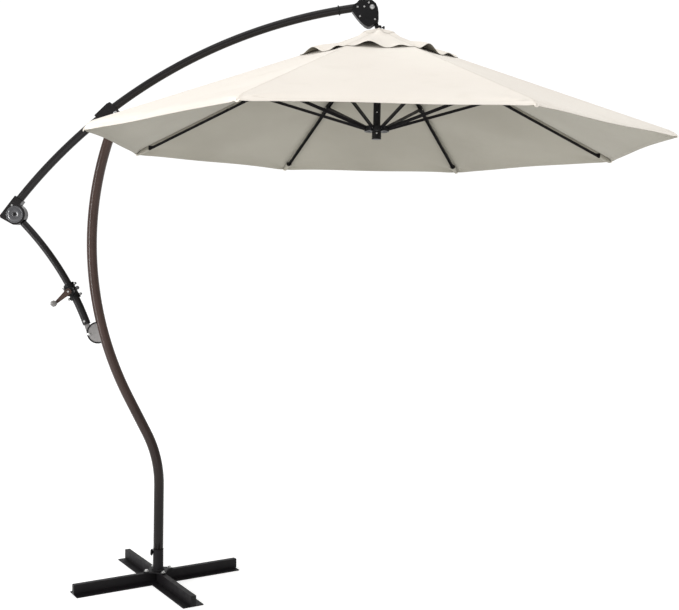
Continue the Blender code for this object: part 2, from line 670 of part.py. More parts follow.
def build_crank(crank, knob):
    axis = Matrix.Translation((CRANK_AXIS[0], 0, CRANK_AXIS[1])) @ ALONG_Y
    profile = [(0.0, 0.0462), (0.0052, 0.0462), (0.0052, 0.0405), (0.0175, 0.0405),
               (0.0175, 0.0385), (0.0100, 0.0370), (0.0100, 0.0270), (0.0175, 0.0255),
               (0.0175, 0.0235), (0.0, 0.0235)]
    hang(link(turned("winch_spindle", profile, 20, axis), STEEL), crank)

    hub, tip = Vector(CRANK_AXIS), Vector(CRANK_TIP)
    heading = math.atan2(tip.y - hub.y, tip.x - hub.x)
    outline = arc(CRANK_AXIS, 0.0150, heading + math.pi / 2, heading + 3 * math.pi / 2, 8)
    outline += arc(CRANK_TIP, 0.0060, heading - math.pi / 2, heading + math.pi / 2, 6)
    arm = wall_slab("crank_arm", [outline], -0.0545, -0.0466)
    rounded = arm.modifiers.new("soft_edges", "BEVEL")
    rounded.width = 0.0015
    rounded.segments = 1
    hang(link(arm, BRONZE), crank)

    grip = [(0.0, 0.0850), (0.0090, 0.0840), (0.0150, 0.0790), (0.0158, 0.0700),
            (0.0120, 0.0600), (0.0080, 0.0549), (0.0, 0.0549)]
    place = Matrix.Translation((CRANK_TIP[0], 0, CRANK_TIP[1])) @ ALONG_Y
    hang(link(turned("crank_knob", grip, 18, place), PLASTIC), knob)


# ---------------------------------------------------------------- canopy frame
def build_neck(body):
    """The tilting neck: a fork round the head pulley, a stem, a flange and the pole's plug."""
    flange_low, flange_high = POLE_TOP_Z + GAP, POLE_TOP_Z + 0.0100
    stem_foot = (CANOPY_X - 0.003, flange_low + 0.003)
    root, tip = Vector(stem_foot), Vector(TILT_PIVOT)
    along = (tip - root).normalized()
    across = Vector((-along.y, along.x)) * 0.0095
    heading = math.atan2(along.y, along.x)
    stem = [tuple(root + across), tuple(root - across)]
    stem += arc(TILT_PIVOT, 0.0095, heading - math.pi / 2, heading + math.pi / 2, 8)
    neck = wall_slab("tilt_neck", [stem], -0.0100, 0.0100)
    centre = Matrix.Translation((CANOPY_X, 0, 0))
    boss_high = TILT_SCREW_Z + 0.008
    plug = turned("neck_plug", [(0.0, boss_high), (0.0135, boss_high), (0.0135, flange_high),
                                (0.0180, flange_high), (0.0180, flange_low),
                                (0.0155, flange_low), (0.0155, flange_low - 0.040),
                                (0.0, flange_low - 0.040)], 20, centre)
    fuse(neck, plug)
    fork_room = wall_slab("fork_room", [circle(*TILT_PIVOT, 0.0170, 20)], -0.0055, 0.0055)
    pin_hole = rod("neck_pin_hole", 0.0054, -0.03, 0.03, 16,
                   Matrix.Translation((TILT_PIVOT[0], 0, TILT_PIVOT[1])) @ ALONG_Y)
    passage = solid_rod_along("cord_passage", [(1.0075, 2.800), (CANOPY_X, 2.620)], 0.0035, 3)
    cut(neck, fork_room, pin_hole, passage)
    hang(link(neck, PLASTIC), body)


def build_canopy_frame(body):
    build_neck(body)
    centre = Matrix.Translation((CANOPY_X, 0, 0))
    pole = ring("canopy_pole", POLE_RADIUS - POLE_WALL, POLE_RADIUS, POLE_END_Z, POLE_TOP_Z, 24,
                centre)
    hang(link(pole, BLACK), body)
    bore = circle(0.0, 0.0, POLE_RADIUS + 0.0006, 24)
    hub = slab("top_hub", [slotted_disc(0.062, 0.038, RIB_WIDTH + 0.0012), bore], 0.026,
               Matrix.Translation((CANOPY_X, 0, HUB_Z)))
    hang(link(hub, PLASTIC), body)
    drop = [(1.0075, 2.7855), (CANOPY_X - 0.0012, 2.634), (CANOPY_X, 2.60), (CANOPY_X, 2.1700)]
    hang(link(solid_rod_along("lift_cord_drop", drop, 0.0015, 1), CORD), body)


def build_tilt_screw(knob):
    z = TILT_SCREW_Z
    edge = CANOPY_X + 0.0135 + GAP
    profile = [(0.0, 0.0150), (0.0050, 0.0150), (0.0075, 0.0125), (0.0075, 0.0085),
               (0.0035, 0.0070), (0.0032, 0.0), (0.0, 0.0)]
    place = Matrix.Translation((edge, 0, z)) @ ALONG_X
    hang(link(turned("tilt_lock_screw", profile, 14, place), PLASTIC), knob)


def build_runner(body):
    centre = Matrix.Translation((CANOPY_X, 0, 0))
    loops = [slotted_disc(0.060, 0.034, STAY_WIDTH + 0.0016), circle(0.0, 0.0, 0.0200, 24)]
    runner = slab("runner", loops, 0.024, centre @ Matrix.Translation((0, 0, RUNNER_Z)))
    bore, top, bottom = POLE_RADIUS + 0.0006, RUNNER_Z + 0.010, 2.1630
    profile = [(0.0, bottom + 0.0050), (bore, bottom + 0.0050), (bore, top), (0.0220, top),
               (0.0220, bottom), (0.0, bottom)]
    fuse(runner, turned("runner_sleeve", profile, 24, centre))
    hang(link(runner, PLASTIC), body)


def rib_frame(azimuth, radius, z, slope):
    """A local frame at a rib pivot whose +X runs outwards and down a slope."""
    return (Matrix.Translation((CANOPY_X, 0, 0)) @ Matrix.Rotation(azimuth, 4, "Z")
            @ Matrix.Translation((radius, 0, z)) @ Matrix.Rotation(slope, 4, "Y"))


def build_ribs(canopy):
    joint_r = PIVOT_CIRCLE + STAY_JOINT * math.cos(RIB_DROP)
    joint_z = HUB_Z - STAY_JOINT * math.sin(RIB_DROP)
    run, fall = joint_r - PIVOT_CIRCLE, joint_z - RUNNER_Z
    stay_length = math.hypot(run, fall)
    stay_slope = math.pi - math.atan2(fall, run)
    for i in range(RIB_COUNT):
        azimuth = FIRST_RIB + i * 2 * math.pi / RIB_COUNT
        place = rib_frame(azimuth, PIVOT_CIRCLE, HUB_Z, RIB_DROP)
        spot = place.translation
        hinge = pivot("rib_pivot_%d" % (i + 1), spot.x, spot.z, canopy, azimuth, spot.y)
        rib = channel("rib_%d" % (i + 1), RIB_WIDTH, RIB_HEIGHT, CHANNEL_WALL,
                      -0.004, RIB_LENGTH, place)
        hang(link(rib, BLACK), hinge)
        turned_over = Matrix.Rotation(math.pi, 4, "X")
        place = rib_frame(azimuth, joint_r, joint_z, stay_slope) @ turned_over
        spot = place.translation
        elbow = pivot("stay_pivot_%d" % (i + 1), spot.x, spot.z, hinge, azimuth, spot.y)
        stay = channel("stay_%d" % (i + 1), STAY_WIDTH, STAY_HEIGHT, CHANNEL_WALL,
                       -0.004, stay_length + 0.003, place)
        hang(link(stay, BLACK), elbow)


def octagon_rows(rows):
    """Points of an eight-panel cloth: one corner per rib and one point in the middle of each side.

    The third value of a row is how far its sides curve in between the corners.
    """
    corners = 2 * RIB_COUNT
    middle = math.cos(math.pi / RIB_COUNT)
    for radius, height, curve_in in rows:
        row = []
        for i in range(corners):
            azimuth = FIRST_RIB + i * math.pi / RIB_COUNT
            reach = radius if i % 2 == 0 else radius * middle - curve_in
            row.append((reach * math.cos(azimuth), reach * math.sin(azimuth), height))
        yield row


def cloth(name, rows, thickness):
    """A thin closed octagonal cloth ring, from its rows of (radius at the ribs, height, curve)."""
    mesh = bpy.data.meshes.new(name)
    work = bmesh.new()
    made = [[work.verts.new(point) for point in row] for row in octagon_rows(rows)]
    for upper, lower in zip(made, made[1:]):
        count = len(upper)
        for i in range(count):
            j = (i + 1) % count
            work.faces.new((upper[i], lower[i], lower[j], upper[j]))
    work.normal_update()
    work.to_mesh(mesh)
    work.free()
    shape = bpy.data.objects.new(name, mesh)
    shape.location = (CANOPY_X, 0, 0)
    shell = shape.modifiers.new("cloth", "SOLIDIFY")
    shell.thickness = thickness
    shell.offset = 1.0
    return shape


def build_cloth(body):
    slope = math.tan(RIB_DROP)
    lift = (RIB_HEIGHT / 2 + 0.0015) / math.cos(RIB_DROP)

    def above_rib(radius, curve_in):
        return radius, HUB_Z - (radius - PIVOT_CIRCLE) * slope + lift, curve_in

    rows = [above_rib(0.150, 0.0), above_rib(0.70, 0.004), above_rib(1.346, 0.014),
            (CANOPY_RADIUS, CANOPY_RIM_Z, HEM_CURVE)]
    canopy = cloth("canopy_cloth", rows, CLOTH_THICKNESS)
    hang(link(canopy, CANVAS), body)
    cap = cloth("vent_cap", [(0.026, CAP_TOP_Z, 0.0), (CAP_RADIUS, CAP_RIM_Z, 0.006)],
                CLOTH_THICKNESS)
    hang(link(cap, CANVAS), body)


# ---------------------------------------------------------------- assembly
def build():
    boom_pivot = boom_point(PIVOT_ANGLE, -PIVOT_DROP)
    strut_heading = math.radians(46.5 - 90.0)

    build_base()
    build_lock_knob()
    mast = pivot("mast_swivel_axis", 0.0, POST_TOP)
    build_mast(mast)
    boom = pivot("boom_lift_axis", *boom_pivot, mast)
    build_boom(boom, strut_heading)
    strut_lower = pivot("strut_swing_axis", *STRUT_PIVOT, mast)
    strut_upper = pivot("strut_extend_axis", *STRUT_CENTRE, strut_lower)
    build_strut(strut_lower, strut_upper)
    build_winch(strut_lower)
    crank = pivot("crank_axis", *CRANK_AXIS, strut_lower)
    crank_knob = pivot("crank_knob_axis", *CRANK_TIP, crank)
    build_crank(crank, crank_knob)

    knuckle_wheel = pivot("knuckle_pulley_axis", *KNUCKLE, boom)
    wheel = pulley("knuckle_pulley", *KNUCKLE, 0.0145, -0.0048, 0.0048)
    hang(link(wheel, PLASTIC), knuckle_wheel)
    head_wheel = pivot("head_pulley_axis", *TILT_PIVOT, boom)
    wheel = pulley("head_pulley", *TILT_PIVOT, 0.0145, -0.0048, 0.0048)
    hang(link(wheel, PLASTIC), head_wheel)

    canopy = pivot("canopy_tilt_axis", *TILT_PIVOT, boom)
    build_canopy_frame(canopy)
    tilt_knob = pivot("tilt_screw_axis", CANOPY_X + 0.0135, TILT_SCREW_Z, canopy)
    build_tilt_screw(tilt_knob)
    runner = pivot("runner_axis", CANOPY_X, RUNNER_Z, canopy)
    build_runner(runner)
    build_ribs(canopy)
    build_cloth(canopy)

    for piece in PARTS.objects:
        if piece.type == "MESH":
            piece.data.shade_smooth()
            piece.data.set_sharp_from_angle(angle=math.radians(35))
    bpy.context.view_layer.update()


build()
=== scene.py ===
"""Looks of the cantilever patio umbrella: coats, fabric, smooth tubes and small fittings.

Metres, +Z up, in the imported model's frame: the origin is on the floor under the middle of the
base, and the mast, boom and strut lie in the plane y = 0. The canopy is eight cloth gores, one
over each rib, so that it folds with the ribs.
"""
import math

import bmesh
import bpy
from mathutils import Matrix, Vector


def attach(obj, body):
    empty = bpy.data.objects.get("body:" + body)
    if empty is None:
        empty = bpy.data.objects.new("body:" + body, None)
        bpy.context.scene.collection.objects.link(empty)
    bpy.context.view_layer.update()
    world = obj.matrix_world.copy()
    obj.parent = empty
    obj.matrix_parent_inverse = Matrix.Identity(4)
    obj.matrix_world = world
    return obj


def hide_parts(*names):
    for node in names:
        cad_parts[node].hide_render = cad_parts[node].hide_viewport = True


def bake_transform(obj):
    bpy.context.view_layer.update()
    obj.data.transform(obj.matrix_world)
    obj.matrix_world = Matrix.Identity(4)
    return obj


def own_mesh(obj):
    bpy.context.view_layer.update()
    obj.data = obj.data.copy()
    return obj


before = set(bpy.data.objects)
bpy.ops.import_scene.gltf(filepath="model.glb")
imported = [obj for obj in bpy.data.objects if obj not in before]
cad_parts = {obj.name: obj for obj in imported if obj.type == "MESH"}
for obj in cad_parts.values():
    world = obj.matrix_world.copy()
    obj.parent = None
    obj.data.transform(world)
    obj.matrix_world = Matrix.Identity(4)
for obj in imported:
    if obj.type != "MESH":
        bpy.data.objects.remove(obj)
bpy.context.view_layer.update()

# ---- sizes shared with the CAD model
ARM_ANGLE = math.radians(33.3)
HALF_BEAM = 0.418
RIDGE_HALF = 0.013
RIDGE_TOP = 0.051
PLATE_TOP = 0.0574
BOLT_REACH = 0.060
POST_RADIUS = 0.025
LOCK_KNOB_Z = 0.142
MAST_RADIUS = 0.024
MAST_FOOT_Z = 0.1612
MAST_BEND_Z = 0.475
MAST_BEND_RADIUS = 0.543
MAST_LEAN = math.radians(27.7)
MAST_ARC_RADIUS = 1.62
MAST_ARC_Z = 1.65
MAST_TOP_Z = 2.212
BOOM_CENTRE = (1.296, 0.297)
BOOM_ARC_RADIUS = 2.517
BOOM_REAR = math.radians(142.75)
BOOM_FRONT = math.radians(98.2)
BOOM_RADIUS = 0.019
BOOM_PIVOT = (-0.22296, 2.26372)
STRUT_CENTRE = (-1.686, 0.738)
STRUT_ARC_RADIUS = 1.424
STRUT_OUTER_RADIUS = 0.0190
STRUT_INNER_RADIUS = 0.0172
STRUT_FOOT = math.radians(20.9)
STRUT_INNER_END = math.radians(27.0)
STRUT_COLLAR = math.radians(28.9)
STRUT_HEAD = math.radians(46.5)
STRUT_PIVOT = (-0.342, 1.204)
BRACKET = (-0.301, 1.212)
KNUCKLE = (-0.703, 1.774)
HOUSING_HALF = 0.024
CRANK_AXIS = (-0.434, 1.409)
CRANK_TIP = (-0.4975, 1.3508)
TILT_PIVOT = (0.993, 2.785)
TILT_SCREW_Z = 2.694
CANOPY_X = 1.026
POLE_RADIUS = 0.0175
HUB_Z = 2.645
RUNNER_Z = 2.212
PIVOT_CIRCLE = 0.050
FIRST_RIB = math.radians(22.5)
SECTOR = math.radians(45.0)
RIB_SLOPE = 0.39
RIB_DROP = math.atan(RIB_SLOPE)
STAY_JOINT = 0.6547
CANOPY_RADIUS = 1.370
CAP_RADIUS = 0.395

# cloth
CLOTH = 0.001                     # thickness of the canvas
CLOTH_LIFT = 0.01235              # the cloth's middle above a rib's axis
HEM_CURVE = 0.016                 # how far the hem curves in between two rib tips
SAG = 0.011                       # how far a panel hangs in its middle
HEM = 0.022                       # width of the folded hem
CROWN_HOLE, CROWN_RADIUS = 0.0205, 0.105
POCKET_START = 1.293              # distance from the pole's axis, seen from above
FLAP_START = 0.712                # the same
FLAP_LENGTH = 0.576               # seen from above; 7 % longer down the slope
FLAP_DEPTH = 0.0105
TAB_WIDTH, TAB_HEIGHT = 0.023, 0.012

UPRIGHT = Matrix.Rotation(math.pi / 2, 4, "X")      # local x, y, z become x, z, -y
RIBS = range(1, 9)


# ---- material helpers
def linear(*colour):
    """A colour given as it looks on a screen, 0 to 1, as the linear values of a shader."""
    return tuple(c / 12.92 if c <= 0.04045 else ((c + 0.055) / 1.055) ** 2.4 for c in colour)


class Wiring:
    """Small helpers to wire the nodes of one tree."""

    def __init__(self, tree):
        self.tree = tree

    def set(self, target, value):
        if hasattr(value, "is_linked"):
            self.tree.links.new(value, target)
        elif isinstance(value, tuple):
            target.default_value = (*value, 1.0) if len(target.default_value) == 4 else value
        else:
            target.default_value = value

    def node(self, kind, **inputs):
        made = self.tree.nodes.new("ShaderNode" + kind)
        for name, value in inputs.items():
            self.set(made.inputs[name], value)
        return made

    def split(self, vector):
        return self.node("SeparateXYZ", Vector=vector).outputs

    def span(self, source, low, high, to_low=0.0, to_high=1.0):
        """Maps low..high to to_low..to_high, clamped and eased."""
        made = self.node("MapRange")
        made.interpolation_type = "SMOOTHSTEP"
        for target, value in zip(made.inputs, (source, low, high, to_low, to_high)):
            self.set(target, value)
        return made.outputs["Result"]


class Finish(Wiring):
    """One procedural material."""

    def __init__(self, name, roughness, metallic=0.0, specular=0.5):
        self.material = bpy.data.materials.new(name)
        self.material.use_nodes = True
        super().__init__(self.material.node_tree)
        self.shader = self.tree.nodes["Principled BSDF"]
        for label, value in (("Roughness", roughness), ("Metallic", metallic),
                             ("Specular IOR Level", specular)):
            self.shader.inputs[label].default_value = value
        self.place = self.node("TexCoord").outputs["Object"]
        self.normal = None

    def noise(self, scale, detail=3.0, stretch=None):
        source = self.place
        if stretch:
            source = self.node("Mapping", Scale=stretch, Vector=source).outputs["Vector"]
        return self.node("TexNoise", Scale=scale, Detail=detail, Vector=source).outputs["Fac"]

    def math(self, operation, *values):
        made = self.node("Math")
        made.operation = operation
        for target, value in zip(made.inputs, values):
            self.set(target, value)
        return made.outputs["Value"]

    def times(self, first, second):
        return self.math("MULTIPLY", first, second)

    def mix(self, factor, first, second):
        made = self.node("Mix")
        made.data_type = "RGBA"
        for index, value in ((0, factor), (6, first), (7, second)):
            self.set(made.inputs[index], value)
        return made.outputs[2]

    def bump(self, height, strength, distance):
        made = self.node("Bump", Strength=strength, Distance=distance, Height=height)
        if self.normal:
            self.set(made.inputs["Normal"], self.normal)
        self.normal = made.outputs["Normal"]

    def rubs(self):
        """Sparse small marks where the finish is rubbed."""
        marks = self.span(self.noise(38, 6), 0.60, 0.72)
        return self.times(marks, self.span(self.noise(4), 0.45, 0.7))

    def done(self, colour, roughness=None):
        self.set(self.shader.inputs["Base Color"], colour)
        if roughness is not None:
            self.set(self.shader.inputs["Roughness"], roughness)
        if self.normal:
            self.set(self.shader.inputs["Normal"], self.normal)
        return self.material


def scaled(colour, factor):
    return tuple(min(1.0, value * factor) for value in colour)


def powder_coat(name, colour, roughness, specular, worn, painted_shade_below=None):
    """Baked powder paint: orange peel, faint clouds, settled dust and rubbed edges; if asked, painted shade
    that darkens it towards the floor.
    """
    coat = Finish(name, roughness, 0.0, specular)
    clouds = coat.mix(coat.span(coat.noise(5, 4), 0.3, 0.7), scaled(colour, 0.86), scaled(colour, 1.13))
    specks = coat.span(coat.noise(700, 2), 0.62, 0.75, 0.0, 0.35)
    tone = coat.mix(specks, clouds, scaled(colour, 1.7))
    tone = coat.mix(coat.times(coat.rubs(), 0.22), tone, worn)
    # painted shade: below the given height the coat is darkened towards the floor, to stand in for less
    # light there
    if painted_shade_below:
        height = coat.split(coat.place)["Z"]
        tone = coat.mix(coat.span(height, 0.25, painted_shade_below), scaled(colour, 0.10), tone)
    rough = coat.span(coat.noise(28, 5), 0.25, 0.75, roughness - 0.06, roughness + 0.08)
    coat.bump(coat.noise(420, 2), 0.07, 0.0005)
    coat.bump(coat.noise(1700, 1), 0.04, 0.0002)
    return coat.done(tone, rough)


def moulding(name, colour, roughness, specular=0.4):
    """Moulded plastic with a fine spark-eroded grain and faint flow marks."""
    part = Finish(name, roughness, 0.0, specular)
    flow = part.mix(part.span(part.noise(14, 3, (1.0, 1.0, 3.0)), 0.3, 0.7), scaled(colour, 0.85),
                    scaled(colour, 1.15))
    tone = part.mix(part.times(part.rubs(), 0.12), flow, scaled(colour, 2.6))
    rough = part.span(part.noise(60, 4), 0.3, 0.7, roughness - 0.05, roughness + 0.07)
    part.bump(part.noise(1500, 2), 0.12, 0.0003)
    return part.done(tone, rough)


def brushed_steel(name, colour, roughness):
    """Zinc-plated steel with a drawn grain and small dull patches."""
    metal = Finish(name, roughness, 1.0, 0.5)
    patches = metal.span(metal.noise(90, 4), 0.35, 0.7)
    tone = metal.mix(patches, scaled(colour, 0.82), scaled(colour, 1.06))
    grain = metal.noise(500, 2, (1.0, 1.0, 0.05))
    rough = metal.math("ADD", metal.span(grain, 0.3, 0.7, roughness - 0.05, roughness + 0.06),
                       metal.times(patches, 0.05))
    metal.bump(grain, 0.08, 0.0002)
    return metal.done(tone, rough)


def canvas(name, colour, shade, dirt_and_painted_shade):
    """Plain-woven polyester canvas with slubs, soft creases and two-row stitching, and painted shade in the
    gaps of its weave.
    """
    fabric = Finish(name, 0.86, 0.0, 0.25)
    fabric.shader.inputs["Sheen Weight"].default_value = 0.12
    fabric.shader.inputs["Sheen Roughness"].default_value = 0.5

    def uv(layer):
        made = fabric.node("UVMap")
        made.uv_map = layer
        return fabric.split(made.outputs["UV"])[:2]

    def stitch_rows(along, across, rows):
        """1 on a thread of each row, 4.5 mm a stitch."""
        step = fabric.math("LESS_THAN", fabric.math("FRACT", fabric.math("DIVIDE", along, 0.0045)), 0.66)
        total = 0.0
        for row in rows:
            line = fabric.math("COMPARE", across, row, 0.0007)
            total = fabric.math("MAXIMUM", fabric.times(line, step), total)
        return total

    warp, weft = uv("gore")
    around, inward = uv("hem")
    thread = math.tau / 0.0014
    waves = [fabric.math("SINE", fabric.times(axis, thread)) for axis in (warp, weft)]
    weave = fabric.times(*waves)
    slubs = fabric.times(fabric.span(fabric.noise(260, 2, (1.0, 0.12, 1.0)), 0.55, 0.75),
                        fabric.span(fabric.noise(9, 3), 0.35, 0.65))
    seam = stitch_rows(warp, fabric.math("ABSOLUTE", weft), (0.0012, 0.0042))
    hem = stitch_rows(around, inward, (0.0030, HEM - 0.003))
    stitches = fabric.math("MAXIMUM", seam, hem)
    tone = fabric.mix(fabric.span(fabric.noise(1.7, 4), 0.3, 0.7), scaled(colour, 0.985), shade)
    # painted shade: the gaps between the threads are darkened a little, up to 7 % of the way to the darker
    # tone
    tone = fabric.mix(fabric.span(weave, -1.0, 1.0, 0.07, 0.0), tone, dirt_and_painted_shade)
    tone = fabric.mix(fabric.times(slubs, 0.06), tone, scaled(colour, 1.04))
    tone = fabric.mix(fabric.span(fabric.noise(7, 5), 0.52, 0.8, 0.0, 0.10), tone, dirt_and_painted_shade)
    tone = fabric.mix(fabric.times(stitches, 0.5), tone, dirt_and_painted_shade)
    fabric.bump(fabric.noise(3.2, 5), 0.22, 0.010)
    fabric.bump(fabric.noise(24, 4), 0.10, 0.0015)
    fabric.bump(weave, 0.25, 0.00025)
    fabric.bump(stitches, 0.6, 0.0006)
    return fabric.done(tone)


def braid(name, colour):
    cord = Finish(name, 0.8, 0.0, 0.2)
    lay = cord.noise(600, 2, (1.0, 1.0, 0.4))
    # painted shade: the cord is darker where the lay's bump is low, in the grooves between its strands
    tone = cord.mix(cord.span(lay, 0.35, 0.65), scaled(colour, 0.7), colour)
    cord.bump(lay, 0.5, 0.0006)
    return cord.done(tone)


BARE_EDGE = linear(0.44, 0.42, 0.41)
BLACK = powder_coat("base_black_coat", linear(0.082, 0.074, 0.082), 0.55, 0.18, linear(0.22, 0.21, 0.21))
# the bronze mast gets painted shade, darker towards its foot up to 1.25 m
BRONZE = powder_coat("bronze_coat_satin", linear(0.255, 0.198, 0.178), 0.20, 0.24, BARE_EDGE, 1.25)
CHARCOAL = powder_coat("charcoal_coat_satin", linear(0.105, 0.096, 0.098), 0.22, 0.24, BARE_EDGE)
FRAME_BLACK = powder_coat("frame_black_coat", linear(0.072, 0.064, 0.072), 0.42, 0.18,
                          linear(0.3, 0.3, 0.3))
PLASTIC = moulding("black_plastic_grained", linear(0.065, 0.065, 0.068), 0.40, 0.20)
GLOSS = moulding("dark_grey_gloss_plastic", linear(0.27, 0.27, 0.28), 0.16, 0.6)
CAST = moulding("cast_grey_metal", linear(0.50, 0.49, 0.485), 0.34, 0.5)
# partly painted highlight: the crank knob is painted light grey, and part of that grey stands in for the
# shine on its end
GREY_PAINTED_HIGHLIGHT = moulding("grey_plastic_painted_highlight", linear(0.46, 0.45, 0.44), 0.32, 0.5)
STEEL = brushed_steel("zinc_steel", (0.60, 0.60, 0.59), 0.28)
CANVAS_TOP = canvas("cream_canvas_outside", linear(0.965, 0.935, 0.895), linear(0.975, 0.95, 0.91),
                    linear(0.80, 0.76, 0.69))
# painted shade: the canvas's underside is painted a darker grey than its top, to stand in for the shade
# under the canopy
CANVAS_UNDER_PAINTED_SHADE = canvas("canvas_underside_painted_shade", linear(0.555, 0.54, 0.495), linear(0.59, 0.575, 0.53),
                      linear(0.49, 0.475, 0.43))
CORD = braid("white_braided_cord", linear(0.86, 0.85, 0.82))
CAD_FINISHES = {"black_coat": BLACK, "bronze_coat": BRONZE, "charcoal_coat": CHARCOAL,
                "charcoal_aluminium": CHARCOAL, "black_aluminium": FRAME_BLACK,
                "black_plastic": PLASTIC, "steel": STEEL, "canvas": CANVAS_TOP, "cord": CORD}
CAD_OVERRIDES = {"strut_bracket": CAST, "strut_foot": CAST, "strut_eye": FRAME_BLACK,
                 "mast_spigot": FRAME_BLACK, "runner": PLASTIC}


# ---- shape helpers
def moved(x, y=0.0, z=0.0):
    return Matrix.Translation((x, y, z))


def spun(angle, axis="Z"):
    return Matrix.Rotation(angle, 4, axis)


def at(x, z, y=0.0):
    """A frame whose local Z points to the near side, -Y."""
    return moved(x, y, z) @ UPRIGHT


def far_side(x, z, y=0.0):
    """A frame whose local Z points to the far side, +Y."""
    return moved(x, y, z) @ spun(-math.pi / 2, "X")


def heading(angle):
    return Vector((math.cos(angle), math.sin(angle)))


def rectangle(half, low, high):
    return [(-half, low), (half, low), (half, high), (-half, high)]


def ring_round(centre, across, third, radius, sides):
    """Points on a circle in the plane of two directions."""
    return [centre + (across * math.cos(a) + third * math.sin(a)) * radius
            for a in (math.tau * j / sides for j in range(sides))]


def on_arc(centre, radius, angle):
    return centre[0] + radius * math.cos(angle), centre[1] + radius * math.sin(angle)


def arc(centre, radius, start, end, count):
    return [on_arc(centre, radius, start + (end - start) * i / count) for i in range(count + 1)]


def eased(value, low, high):
    t = min(1.0, max(0.0, (value - low) / (high - low)))
    return t * t * (3 - 2 * t)


def loft(rows, around=True, loop=False, capped=False):
    """Points and faces of a skin over equal rows of points."""
    count, width = len(rows), len(rows[0])
    points = [tuple(point) for row in rows for point in row]
    faces = []
    for i in range(count if loop else count - 1):
        ahead = (i + 1) % count
        for j in range(width if around else width - 1):
            beside = (j + 1) % width
            faces.append((i * width + j, i * width + beside, ahead * width + beside, ahead * width + j))
    if capped:
        faces.append(tuple(range(width)))
        faces.append(tuple((count - 1) * width + j for j in range(width)))
    return points, faces


def turned(profile, steps=40, closed=False, radius_at=None):
    """A profile of (radius, height) turned about Z; radius_at may shape it round the turn."""
    rows = []
    for radius, height in profile:
        row = []
        for i in range(steps):
            angle = math.tau * i / steps
            reach = radius_at(radius, angle) if radius_at else radius
            row.append((reach * math.cos(angle), reach * math.sin(angle), height))
        rows.append(row)
    return loft(rows, loop=closed)


def fluted(count, depth, beyond):
    """Presses grooves round a turned grip, wherever its radius is over a limit."""
    def grooved(radius, angle):
        return radius - (depth * (1 + math.cos(count * angle)) if radius > beyond else 0.0)

    return grooved


def prism(outline, low, high, chamfer=0.0008):
    """A flat outline raised from low to high, with chamfered rims."""
    middle = sum((Vector(point) for point in outline), Vector((0, 0))) / len(outline)
    size = max((Vector(point) - middle).length for point in outline)
    shrink = 1 - chamfer / size
    small = [middle + (Vector(point) - middle) * shrink for point in outline]
    rows = [[(x, y, low) for x, y in small], [(x, y, low + chamfer) for x, y in outline],
            [(x, y, high - chamfer) for x, y in outline], [(x, y, high) for x, y in small]]
    return loft(rows, capped=True)


def swept(path, radius, sides=12, closed=False, side=Vector((0, 1, 0))):
    """A round bar along 3-D points; it is capped unless it is a closed ring."""
    path = [Vector(point) for point in path]
    count = len(path)
    rows = []
    for i, centre in enumerate(path):
        before = path[i - 1] if closed or i else centre
        after = path[(i + 1) % count] if closed or i + 1 < count else centre
        along = (after - before).normalized()
        across = along.cross(side).normalized()
        third = across.cross(along)
        rows.append(ring_round(centre, across, third, radius, sides))
    return loft(rows, loop=closed, capped=not closed)


def shifted(shape, place):
    points, faces = shape
    return [tuple(place @ Vector(point)) for point in points], faces


def add_object(name, data):
    added = bpy.data.objects.new(name, data)
    bpy.context.scene.collection.objects.link(added)
    return added


def make(name, shapes, finish, place=Matrix.Identity(4), crisp=38.0):
    """One object from one or more shapes, with its faces turned outwards."""
    mesh = bpy.data.meshes.new(name)
    work = bmesh.new()
    for points, faces in shapes:
        corners = [work.verts.new(point) for point in points]
        for face in faces:
            work.faces.new([corners[i] for i in face])
    bmesh.ops.remove_doubles(work, verts=work.verts, dist=1e-6)
    bmesh.ops.recalc_face_normals(work, faces=work.faces)
    work.to_mesh(mesh)
    work.free()
    mesh.transform(place)
    mesh.materials.append(finish)
    mesh.shade_smooth()
    mesh.set_sharp_from_angle(angle=math.radians(crisp))
    return add_object(name, mesh)


def fit(piece, body, *replaced):
    """Lets a piece ride on a body in the finish of its own material."""
    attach(piece, body)
    if replaced:
        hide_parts(*replaced)
    return piece


def tube(name, points, radius, wall, finish, body, replaced, sides=48):
    """A hollow round tube along (x, z) points of the plane y = 0, with rolled rims."""
    path = [Vector((x, 0.0, z)) for x, z in points]
    last = len(path) - 1

    def ring(index, reach, onward=0.0):
        along = (path[min(index + 1, last)] - path[max(index - 1, 0)]).normalized()
        up = Vector((-along.z, 0.0, along.x))
        return ring_round(path[index] + along * onward, up, Vector((0, 1, 0)), reach, sides)

    lip = wall / 2
    rows = [ring(i, radius) for i in range(last + 1)]
    rows.append(ring(last, radius - lip, lip * 0.8))
    rows += [ring(i, radius - wall) for i in range(last, -1, -1)]
    rows.append(ring(0, radius - lip, -lip * 0.8))
    return fit(make(name, [loft(rows, loop=True)], finish, crisp=60.0), body, replaced)


def hexagon(across):
    return arc((0, 0), across / math.sqrt(3), 0.0, math.tau, 6)[:-1]


def hex_head(across, height, washer):
    """A hex bolt head with a domed top, on a washer, standing on z = 0."""
    plate = turned([(0.0, 0.0012), (washer - 0.0004, 0.0012), (washer, 0.0008), (washer, 0.0),
                    (0.0, 0.0)], 32)
    rows = []
    for share, level in ((1.0, 0.0012), (1.0, height - 0.0012), (0.93, height - 0.0004),
                         (0.80, height), (0.30, height + 0.0004)):
        rows.append([(x * share, y * share, level) for x, y in hexagon(across)])
    return [plate, loft(rows, capped=True)]


